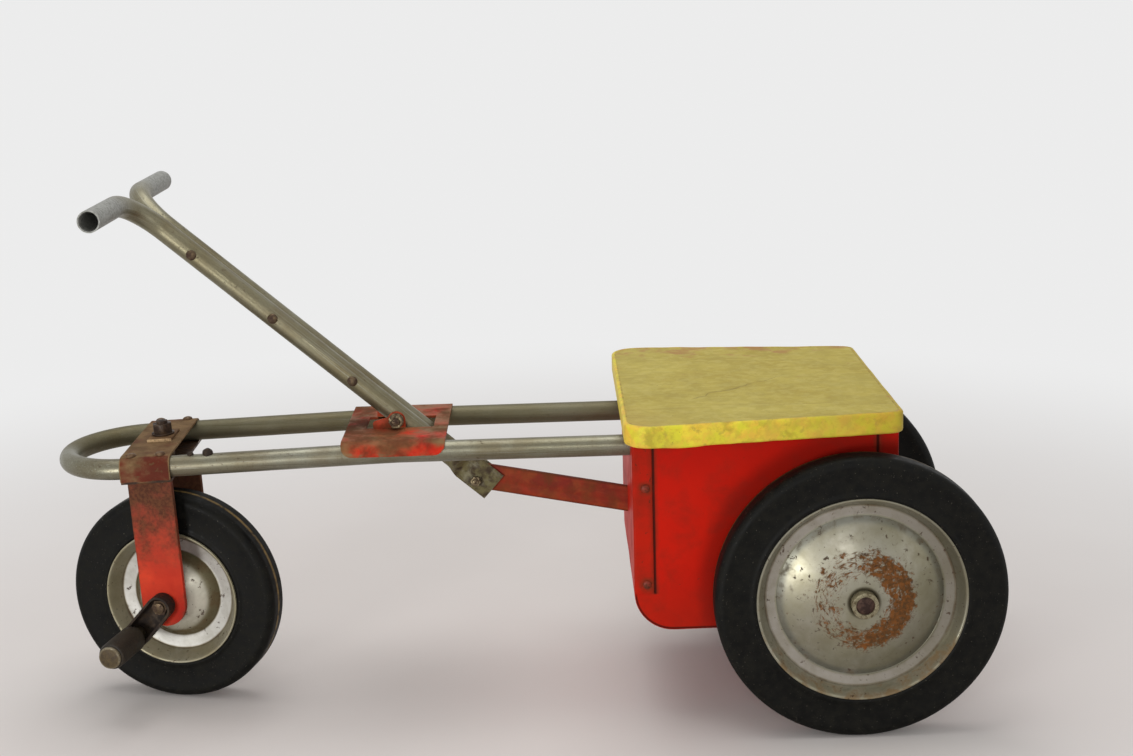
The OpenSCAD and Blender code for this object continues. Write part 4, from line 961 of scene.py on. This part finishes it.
s.coat(s.patch(38, s.ramp(y, 0.10, 0.18, 0.0, 0.62), 0.1, 61), (166, 108, 72), 0.65)
chips = s.patch(110, s.calc("ADD", s.times(wear, 0.2), 0.06), 0.05, 17)
s.coat(chips, (164, 140, 62), 0.5)
s.coat(s.patch(420, 0.1, 0.03, 27), (92, 76, 40), 0.7)
# The crack: a wandering line from one place on the top to another
CRACK_FROM, CRACK_TO = Vector((0.187, -0.072, 0)), Vector((0.290, 0.017, 0))
run = CRACK_TO - CRACK_FROM
from_start = vector_calc(s.tree, "SUBTRACT", s.place, CRACK_FROM)
along, aside = (vector_calc(s.tree, "DOT_PRODUCT", from_start, way.normalized())
                for way in (run, Vector((-run.y, run.x, 0))))
wander = s.node("ShaderNodeTexNoise", {"Vector": s.place, "Scale": 30.0, "Detail": 3.0}).outputs["Fac"]
off_line = s.calc("ADD", aside, s.ramp(wander, 0.3, 0.7, -0.005, 0.005))
crack = s.times(s.between(off_line, -0.0005, 0.0005, 0.0006), s.between(along, 0.0, run.length, 0.012), top_face)
smear = s.times(s.between(off_line, -0.002, 0.002, 0.003),
                s.between(along, run.length * 0.2, run.length * 0.6, 0.02), top_face)
s.coat(smear, (128, 112, 40), 0.4)
s.coat(crack, (108, 88, 36), 0.6)
s.rough = s.blend(top_face, 0.5, 0.62)
s.height = s.blend(s.most(chips, s.times(fibre, 0.5), crack), 0.7, 0.35)
fit(polish(seat, s.finish(0.5, 0.0005, 0.2), 45), "seat_board")


# Battens, clips and screws under the seat
# Two battens of bare softwood are screwed to the board and carry it on the frame tube; bent steel
# clips hold them down to it.
s = Surface("bare softwood")
across_grain = s.node("ShaderNodeMapping", {"Vector": s.place, "Rotation": (0, 0, math.pi / 2)}).outputs[0]
years = s.scratch(240, 7, 0.55, across_grain)
s.colour = s.blend(s.patch(22, 0.5, 0.3, 3), (168, 132, 88), (140, 106, 68))
s.coat(years, (104, 72, 42), 0.6)
s.rough, s.height = 0.75, years
dress("seat_battens", s.finish(0.3, 0.0003, 0.2), 0.0008)
dress("tube_clips", steel_nut)
dress("seat_screws", steel_nut, 0.0002)


# Fork
# One strap of 5 mm steel bent to a U, its ends rounded round the axle. The paint is still orange
# red low down and turns to brown and olive rust towards the top.
PARKED_TURN, AXLE_BACK, AXLE_DOWN = math.radians(-13), 0.004, 0.16393
front_axis = kingpin_place @ Matrix.Rotation(PARKED_TURN, 4, "Z") @ Matrix.Translation((-AXLE_BACK, 0, -AXLE_DOWN))
s = Surface("fork paint", front_axis)
wear, (x, y, z) = s.attribute("wear"), s.xyz()
high_up = s.ramp(z, 0.03, 0.118)
s.colour = s.blend(s.patch(36, 0.5, 0.2, 7), (204, 62, 36), (186, 50, 30))
s.coat(high_up, (112, 56, 40), 0.88)
# The rear side of the strap's lower end painted dark red: painted shade.
s.coat(s.times(s.ramp(x, -0.004, 0.020), s.ramp(z, 0.05, -0.02)), (138, 20, 14), 0.85)
rust_amount = s.calc("ADD", s.calc("ADD", s.times(high_up, 0.5), s.times(wear, 0.16)), 0.12)
rusted, grain = s.patch(48, rust_amount, 0.16, 12), s.patch(300, 0.42, 0.15, 22)
# The upper part of the far leg painted darker: painted shade.
s.coat(s.times(s.ramp(y, 0.0, 0.03), high_up), (70, 44, 32), 0.7)
s.coat(rusted, s.blend(grain, (92, 62, 42), (66, 44, 32)), 0.85)
s.coat(s.times(grain, high_up), (74, 46, 34), 0.5)
s.rough = s.blend(rusted, 0.46, 0.78)
s.height = s.blend(rusted, 0.7, noise_of(grain))
fork_paint = s.finish(0.4, 0.0004, 0.1)

LEG, HALF_WIDTH, CROWN_R, CROWN_TOP = 0.038, 0.025, 0.009, AXLE_DOWN - 0.0166
half_line = [(-LEG, z) for z in stations(-HALF_WIDTH * 0.9995, 14, 0.0, 20, CROWN_TOP - CROWN_R)]
half_line += arc_points(-LEG + CROWN_R, CROWN_TOP - CROWN_R, CROWN_R, 180, 90, 8)[1:]
line = half_line + [(y, CROWN_TOP) for y in stations(-LEG + CROWN_R, 12, LEG - CROWN_R)][1:-1]
line += [(-y, z) for y, z in half_line[::-1]]
columns = stations(-1.0, 3, -0.88, 10, 0.88, 3, 1.0)


def fork_point(i, j):
    """The strap is as wide as it can be all the way, and round below the axle."""
    y, z = line[i]
    half = HALF_WIDTH if z > 0 else math.sqrt(max(0.0, HALF_WIDTH ** 2 - z * z))
    return front_axis @ Vector((columns[j] * half, y, z))


def fork_wear(i, j):
    return 1.0 if j < 2 or j > len(columns) - 3 or i < 3 or i > len(line) - 4 else 0.15


fit(sheet("fork_skin", len(line), len(columns), fork_point, fork_paint, 0.005, fork_wear, bevel=0.0009), "fork")


# Front axle and footrests
# The axle carries a pressed steel arm on each side, open outwards like a shallow tray, with a
# rubber-covered peg on its end. All of it is nearly black with dirt and rust.
dull_steel = rusty("dull steel", (84, 70, 52), (126, 120, 102), 0.4)
dress("front_axle", rusty_bolt)
dress("front_axle_nuts", rusty_bolt, 0.0005)
dress("front_spacers", dull_steel)
arm_rust = rusty("footrest rust", (34, 27, 22), (66, 54, 42), 0.6, 120.0, 0.3)
dress("footrest_left", arm_rust, 0.0009)
dress("footrest_right", arm_rust, 0.0009)


def mirrored(matrix, side):
    return matrix @ Matrix.Scale(side, 4, (0, 1, 0))


def lathe(name, profile, matrix, material, segments):
    """Turns a closed profile of (radius, distance along the axle, outwards) round the axle."""
    verts = []
    for k in range(segments):
        a = k * math.tau / segments
        verts += [matrix @ Vector((r * math.cos(a), -t, r * math.sin(a))) for r, t in profile]
    faces = [[v % len(verts) for v in face] for face in strips(segments + 1, len(profile))]
    return polish(add_mesh(name, verts, faces), material)


ARM_LONG, ARM_SLOPE = 0.046, math.radians(-46)
PEG = [(0.005, 0.055), (0.0125, 0.055), (0.0138, 0.0558), (0.0145, 0.0572), (0.0145, 0.080), (0.0144, 0.1030),
       (0.0142, 0.1052), (0.0134, 0.1066), (0.0122, 0.107), (0.005, 0.107)]
s = Surface("peg rubber", front_axis)
dust, fine = s.patch(60, 0.5, 0.25, 2), s.patch(600, 0.4, 0.1, 4)
s.colour = s.blend(dust, (30, 27, 24), (58, 50, 40))
s.coat(fine, (76, 66, 52), 0.3)
s.rough, s.height = s.blend(dust, 0.5, 0.75), noise_of(fine)
peg_rubber = s.finish(0.4, 0.0003, 0.2)
peg_place = front_axis @ Matrix.Rotation(ARM_SLOPE, 4, "Y") @ Matrix.Translation((-ARM_LONG, 0, 0))
s = Surface("peg cap steel", peg_place)
brown, fine = s.patch(160, 0.5, 0.14, 5), s.patch(800, 0.45, 0.15, 2)
s.colour = s.blend(brown, (142, 134, 114), (104, 92, 70))
s.coat(s.between(s.radius(), -0.01, 0.0105, 0.0012), s.blend(brown, (52, 40, 28), (84, 70, 46)), 0.9)
s.coat(fine, (46, 34, 26), 0.35)
s.rough, s.metal, s.height = s.blend(brown, 0.42, 0.7), s.blend(brown, 0.6, 0.15), noise_of(fine)
cap_steel = s.finish(0.5, 0.0003, 0.25)
for side, name in ((1, "left"), (-1, "right")):
    fit(lathe("peg_rubber_%s_skin" % name, PEG, mirrored(peg_place, side), peg_rubber, 48), "peg_rubber_" + name)
dress("peg_bolt_left", cap_steel, 0.0012)
dress("peg_bolt_right", cap_steel, 0.0012)


# Front wheel
# A solid rubber tyre on two pressed discs: a rolled flange, a steep cone in to a flat ring painted
# near white, a painted reflection of the light, and a domed middle that swells out to the hub. Plated once,
# now grey with brown and painted shade in the corners, and a painted shadow round the hub.
def tyre_rubber(name, matrix, tread_r, dirt_line, dirty):
    """Black rubber with a thin line of brown dirt on the tread, at dirt_line along the axle."""
    s = Surface(name, matrix)
    cloudy, dust, scuffed = s.patch(30, 0.5, 0.25, 1), s.patch(110, 0.4, 0.2, 6), s.patch(70, 0.62, 0.14, 19)
    on_tread = s.times(s.between(s.xyz()[1], dirt_line, dirt_line + 0.0036, 0.0014),
                       s.ramp(s.radius(), tread_r - 0.001, tread_r))
    s.colour = s.blend(cloudy, (8, 8, 7), (14, 14, 12))
    s.coat(dust, (40, 38, 31), 0.3)
    s.coat(s.times(on_tread, scuffed), (134, 110, 66), dirty)
    s.coat(s.patch(560, 0.13, 0.03, 9), (130, 124, 110), 0.4)
    s.rough = s.blend(dust, s.blend(cloudy, 0.42, 0.55), 0.7)
    s.height = noise_of(scuffed)
    return s.finish(0.35, 0.0006, 0.1)


def tyre_profile(tyre_r, half, rim_r, rim_t, well_r, well_t, shoulder=0.009):
    """Foot between the flanges, a bead beside them, a slightly hollow side wall, round shoulders."""
    slope = (rim_t - well_t) / (rim_r - well_r)
    foot_t = rim_t - 0.0015 - slope * 0.002
    half_line = [(well_r + 0.0015, well_t - 0.0015 + slope * 0.0015)]
    half_line += [(rim_r - 0.002, foot_t), (rim_r + 0.0004, foot_t)]
    half_line += [(rim_r + out, half - down) for out, down in (
        (0.0008, 0.0010), (0.0018, 0.0002), (0.0034, 0.0), (0.0050, 0.0002), (0.0060, 0.0009), (0.0085, 0.0012))]
    half_line.append((tyre_r - shoulder - 0.004, half - 0.0006))
    half_line += arc_points(tyre_r - shoulder, half - shoulder, shoulder, 90, 0, 10)
    return half_line + [(r, -t) for r, t in half_line[::-1]]


def disc_profile(rim_r, rim_t, well_r, well_t, flat_r, flat_t, dome, hub_r, thick=0.0015):
    """The outer face from its rolled edge to the hub, then back along the inner face."""
    ball = (flat_r ** 2 + dome ** 2) / (2 * dome)
    cone = ((rim_r - 0.0025, rim_t - 0.0016), (well_r + 0.0015, well_t + 0.0008))
    face = [(rim_r + out, rim_t - down) for out, down in (
        (0.0002, 0.0016), (0.0006, 0.0008), (0.0003, 0.0001), (-0.0006, 0.0), (-0.0016, 0.0004))]
    face += [tuple(a + (b - a) * k / 6 for a, b in zip(*cone)) for k in range(6)]
    face += [(well_r + 0.0006, well_t + 0.0002), (well_r - 0.0006, well_t), (flat_r + 0.004, flat_t + 0.0004),
             (flat_r + 0.0016, flat_t), (flat_r + 0.0005, flat_t + 0.0002)]
    for r in stations(flat_r, 24, hub_r + 0.0018):
        face.append((r, flat_t + dome - ball + math.sqrt(ball ** 2 - r * r) - (0.0002 if r == flat_r else 0)))
    face += [(hub_r + 0.0008, face[-1][1] - 0.0003), (hub_r + 0.0002, face[-1][1] - 0.0012)]
    back = [(r, t - thick) for r, t in face[::-1]]
    back[0] = (back[0][0], back[0][1] - 0.001)
    return face + back


def wheel_metal(name, matrix, silver, warm, plated, ring, corner, hub_rust, dome_pale=0.0, arc=None):
    """Old plated or silver-painted steel: rust round the hub and in the corner of the ring, with painted
    shade in that corner and a painted shadow round the hub. ring is its two radii, share and colour; corner
    its radii, colour, rust, share and softness; hub_rust its radii, softness and amount; arc the direction of
    most rust and how far it reaches round, as two cosines, and with an arc the right side is painted darker as
    shade."""
    ring_in, ring_out, ring_share, ring_colour = ring
    corner_in, corner_out, corner_colour, corner_eaten, corner_share, corner_soft = corner
    rust_in, rust_out, rust_soft, rust_most = hub_rust
    s = Surface(name, matrix)
    radius, (x, y, z) = s.radius(), s.xyz()
    angle = s.calc("ARCTAN2", z, x)
    cloudy, stain, pits = s.patch(24, 0.5, 0.3, 1.5), s.patch(52, 0.4, 0.2, 3.5), s.patch(170, 0.19, 0.04, 38.5)
    s.colour = s.blend(cloudy, silver, warm)
    # The flat ring in its own paler colour; the front wheel's near white one is a painted reflection of the light.
    s.coat(s.between(radius, ring_in, ring_out, 0.0008), ring_colour, ring_share)
    if dome_pale:
        s.coat(s.between(radius, -0.01, corner_in, 0.002), (204, 200, 186), dome_pale)
    s.coat(stain, (108, 100, 74), 0.4)
    # The corner between dome and ring is painted darker: painted shade of the groove, with some dirt.
    in_corner = s.times(s.ramp(radius, corner_in - corner_soft, corner_in + corner_soft, smooth=True),
                        s.between(radius, 0.0, corner_out, 0.0016))
    s.coat(in_corner, corner_colour, corner_share)
    # A dark ring round the hub: a painted shadow of the hub sleeve.
    s.coat(s.between(radius, -0.01, 0.0168, 0.0016), (66, 60, 44), 0.85)
    # Rust round the hub, on the left rear wheel heavier on one side and drawn out into strings
    near_hub = s.between(radius, rust_in, rust_out, rust_soft)
    spread = s.times(near_hub, 0.5)
    if arc:
        toward = s.ramp(s.calc("COSINE", s.calc("SUBTRACT", angle, arc[0])), arc[1], arc[2], smooth=True)
        spread = s.times(near_hub, s.blend(toward, 0.45, 1.0))
        # The right side of the dome painted darker: painted shade.
        right_side_shade = s.times(s.ramp(s.calc("COSINE", angle), -0.3, 0.9), s.ramp(radius, 0.02, 0.07))
        s.coat(right_side_shade, (84, 78, 58), 0.42)
    spots = rusted = s.patch(145, s.blend(spread, 0.12, rust_most), 0.07, 8.5, roughness=0.72)
    if arc:
        swirl = s.node("ShaderNodeCombineXYZ", {0: s.calc("MULTIPLY", angle, 0.012), 1: radius}).outputs[0]
        strings = s.patch(420, s.times(near_hub, s.blend(toward, 0.36, 0.5)), 0.08, 4.5, at=swirl)
        rusted = s.most(spots, s.times(strings, near_hub))
    streak = s.patch(200, 0.5, 0.14, 18.5)
    s.coat(rusted, s.blend(s.times(s.between(spots, 0.05, 0.5, 0.15), 0.75),
                           s.blend(streak, (116, 70, 30), (80, 54, 28)), (58, 40, 24)))
    corner_rust = s.patch(70, s.blend(in_corner, 0.0, corner_eaten), 0.16, 28.5)
    s.coat(corner_rust, (84, 66, 42), 0.75)
    # Rust that has run down on the flange, a dark gutter beside the ring, and pits
    on_flange = s.ramp(radius, ring_out - 0.001, ring_out + 0.003)
    run_down = s.patch(80, s.blend(s.times(on_flange, s.ramp(z, -0.02, -0.06)), 0.0, 0.5), 0.14, 48.5)
    flange_rust = s.times(run_down, on_flange, 1.0 if arc else 0.25)
    s.coat(flange_rust, (110, 84, 48), 0.75)
    gutter = s.between(radius, ring_out - 0.0004, ring_out + 0.0018, 0.0009)
    s.coat(s.times(gutter, s.blend(stain, 0.35, 1.0)), (78, 58, 40), 0.75)
    s.coat(pits, (62, 42, 28), 0.85)
    gone = s.most(rusted, corner_rust, pits, flange_rust)
    s.rough = s.blend(gone, s.blend(stain, s.blend(cloudy, 0.30, 0.40), 0.44), 0.85)
    s.metal = s.blend(gone, plated, 0.0)
    s.height = s.blend(gone, 0.6, noise_of(streak))
    return s.finish(0.45, 0.0004, 0.2)


RIM, WELL = (0.075, 0.0202), (0.0635, 0.0032)
rubber = tyre_rubber("front tyre rubber", front_axis, 0.1155, -0.0020, 0.95)
fit(lathe("front_tyre_skin", tyre_profile(0.117, 0.0185, *RIM, *WELL), front_axis, rubber, 128), "front_tyre")
metal = wheel_metal("front disc plating", front_axis, (160, 155, 136), (142, 134, 106), 0.45,
                    ring=(0.0500, 0.0635, 0.85, (206, 205, 200)),
                    corner=(0.0400, 0.0500, (84, 76, 50), 0.5, 0.8, 0.004),
                    hub_rust=(0.040, 0.046, 0.003, 0.3), dome_pale=0.7)
for side, name in ((1, "left"), (-1, "right")):
    face = disc_profile(*RIM, *WELL, 0.049, 0.0015, 0.025, 0.012)
    fit(lathe("front_disc_%s_skin" % name, face, mirrored(front_axis, side), metal, 128), "front_disc_" + name)
dress("front_hub", dull_steel)


# Rear wheels
# Larger wheels of the same kind. Their discs have a narrow pale ring and a wide shallow dome. Rust
# has spread round the left hub from the upper right down to the bottom.
RIM, WELL, TRACK_HALF = (0.106, 0.0166), (0.096, 0.0028), 0.1587
for side, name in ((-1, "left"), (1, "right")):
    wheel = Matrix.Translation((REAR_X, side * TRACK_HALF, AXLE_Z))
    rubber = tyre_rubber("rear tyre rubber " + name, wheel, 0.1465, -side * 0.006, 0.25)
    fit(lathe("rear_tyre_%s_skin" % name, tyre_profile(AXLE_Z, 0.017, *RIM, *WELL), wheel, rubber, 160),
        "rear_tyre_" + name)
    metal = wheel_metal("rear disc silver " + name, wheel, (156, 153, 140), (140, 136, 114), 0.68,
                        ring=(0.0865, 0.0955, 0.6, (164, 157, 152)),
                        corner=(0.0785, 0.0850, (96, 100, 98), 0.3, 0.5, 0.003),
                        hub_rust=(0.025, 0.054, 0.008, 0.72), arc=(-0.2, -0.7, 0.8) if side < 0 else None)
    for part, out in (("outer", side), ("inner", -side)):
        face = disc_profile(*RIM, *WELL, 0.0845, 0.0015, 0.0225, 0.0135)
        fit(lathe("rear_disc_%s_%s_skin" % (name, part), face, mirrored(wheel, -out), metal, 160),
            "rear_disc_%s_%s" % (name, part))
hub_steel = rusty("hub steel", (84, 72, 48), (150, 142, 116), 0.38)
dress("rear_hub_left", hub_steel)
dress("rear_hub_right", hub_steel)


# Rear axle and crank
# Two steel shafts with a thick crank web each; the drive rod works on the pin between the webs,
# inside the box. The shafts' ends are brown with rust.
axle_rust = rusty("axle end rust", (44, 28, 24), (86, 64, 54), 0.55, 160.0, 0.0)
for name in ("rear_axle_left", "rear_axle_right", "drive_pin"):
    dress(name, axle_rust, 0.0006)
for name in ("crank_web_left", "crank_web_right", "rear_washers", "axle_cap"):
    dress(name, dull_steel, 0.0006)


# Lever
# Two tubes side by side, through-riveted, each bent outwards at the top into an open grip and
# hammered flat at the bottom, where the drive rod's end is bolted between them.
PIVOT_Z, LEAN, OFFSET, LEVER_R = 0.311, math.radians(41.3), 0.003, 0.011
FLAT_LOW, FLAT_HIGH, ROUND_LOW, FLAT_HALF_X, FLAT_HALF_Y, FLAT_IN = -0.130, -0.092, -0.075, 0.0165, 0.0018, 0.0048
BEND, BEND_R, END, LEVER_SIDES = 0.311, 0.050, 0.163, 40
GRIP = BEND + BEND_R
MOUTH = ((0.0106, 0.0), (0.0101, 0.0), (0.0095, -0.0004), (0.0092, -0.002), (0.0092, -0.060))
GRIME_TO, HANDLED_FROM = 0.11, 0.49
lever = Matrix.Translation((PIVOT_X, 0, PIVOT_Z)) @ Matrix.Rotation(LEAN - math.pi / 2, 4, "Y")
s = bare_tube("bare lever tube", (143, 141, 122), (114, 107, 80), by_uv=True)
length = s.xyz(s.along)[0]
handled = s.ramp(length, HANDLED_FROM, HANDLED_FROM + 0.05)
s.coat(handled, s.blend(s.patch(320, 0.45, 0.15, 27), (158, 159, 156), (116, 117, 114)), 0.8)
caked = s.times(s.ramp(length, GRIME_TO, GRIME_TO * 0.4), s.patch(90, 0.75, 0.16, 17))
s.coat(caked, s.blend(s.patch(75, 0.5, 0.1, 37), (100, 92, 58), (50, 34, 18)), 0.92)
s.rough = s.blend(caked, s.blend(handled, s.rough, 0.55), 0.7)
s.metal = s.blend(caked, s.blend(handled, s.metal, 0.3), 0.15)
lever_metal = s.finish(0.35, 0.0003, 0.25)
path = [Vector((OFFSET, -LEVER_R, z)) for z in stations(FLAT_LOW, 6, FLAT_HIGH, 10, ROUND_LOW, 40, BEND)]
for k in range(1, 17):
    a = k / 16 * math.pi / 2
    path.append(Vector((OFFSET, -LEVER_R - BEND_R * (1 - math.cos(a)), BEND + BEND_R * math.sin(a))))
path += [Vector((OFFSET, -y, GRIP)) for y in stations(LEVER_R + BEND_R, 10, END)[1:]]


def lever_ring(i):
    """The tube's section at a point of the path: round, or pressed to a flat oval lower down."""
    p, before, after = path[i], path[max(0, i - 1)], path[min(i + 1, len(path) - 1)]
    across = Vector((1, 0, 0))
    out = (after - before).normalized().cross(across)
    flat = min(1.0, max(0.0, (ROUND_LOW - p.z) / (ROUND_LOW - FLAT_HIGH))) if p.z < 0 else 0.0
    flat = flat * flat * (3 - 2 * flat)
    half_x = LEVER_R + (FLAT_HALF_X - LEVER_R) * flat
    half_y = LEVER_R + (FLAT_HALF_Y - LEVER_R) * flat
    power = 2 + 3 * flat
    middle = p + Vector((0, (LEVER_R - FLAT_IN) * flat, 0))
    ring = []
    for c, s in circle(1.0, LEVER_SIDES):
        scale = (abs(c) ** power + abs(s) ** power) ** (-1 / power)
        ring.append(middle + across * half_x * c * scale + out * half_y * s * scale)
    return ring


# The open mouth of the grip: rings that turn in over the edge and down the bore, in step with the last one
rings = [lever_ring(i) for i in range(len(path))]
mouth = [[Vector((OFFSET + x, -END - depth, GRIP + z)) for x, z in circle(radius, LEVER_SIDES)]
         for radius, depth in MOUTH]
last, lip = rings[-1], mouth[0]
start = min(range(LEVER_SIDES), key=lambda k: (last[k] - lip[0]).length)
turn = 1 if (last[(start + 1) % LEVER_SIDES] - lip[1]).length < (last[start - 1] - lip[1]).length else -1
rings += [[ring[(turn * (k - start)) % LEVER_SIDES] for k in range(LEVER_SIDES)] for ring in mouth]
lengths = lengths_of(path)
lengths += lengths[-1:] * len(mouth)
for side, name in ((1, "left"), (-1, "right")):
    placed_rings = [[mirrored(lever, side) @ v for v in ring] for ring in rings]
    fit(polish(skin("lever_tube_%s_skin" % name, placed_rings, lengths), lever_metal, 40), "lever_tube_" + name)
LEVER_RIVET_LOW, LEVER_RIVET_PITCH = 0.062, 0.106
places = [(LEVER_RIVET_LOW + k * LEVER_RIVET_PITCH, side) for k in range(3) for side in (-1, 1)]
heads("lever_rivets", rusty_bolt,
      ([lever @ Vector((OFFSET, side * (2 * LEVER_R - 0.0001), z)) for z, side in places],
       [Vector((0, side, 0)) for z, side in places], HEAD, HEAD_HIGH, 0.0012))
dress("joint_bolt", steel_nut)
dress("joint_nut", steel_nut, 0.0005)


# Drive rod
# A flat steel bar from the lever's lower end to the crank, painted dark red, and darker along its
# upper and lower edges.
ROD_PLACE, ROD_SLOPE, ROD_LOW, ROD_HIGH = (-0.04472, 0, 0.235846), math.radians(11.1322), -0.009, 0.019
s = Surface("drive rod paint", Matrix.Translation(ROD_PLACE) @ Matrix.Rotation(ROD_SLOPE, 4, "Y"))
height = s.xyz()[2]
rusted = s.patch(46, 0.42, 0.18, 9)
s.colour = s.blend(s.patch(40, 0.5, 0.2, 2), (146, 48, 26), (112, 34, 24))
s.coat(s.patch(60, 0.4, 0.12, 19), (158, 74, 36), 0.5)
low_edge, high_edge = ((ROD_LOW + 0.0022, ROD_LOW + 0.0004), (ROD_HIGH - 0.0024, ROD_HIGH - 0.0004))
s.coat(s.most(s.ramp(height, *low_edge), s.ramp(height, *high_edge)), (58, 26, 16), 0.65)
s.coat(s.scratch(500, 24, 0.3), (150, 82, 50), 0.3)
s.coat(rusted, (96, 58, 32), 0.7)
s.rough, s.height = s.blend(rusted, 0.5, 0.78), noise_of(rusted)
dress("drive_rod", s.finish(0.4, 0.0003, 0.1), 0.0007)
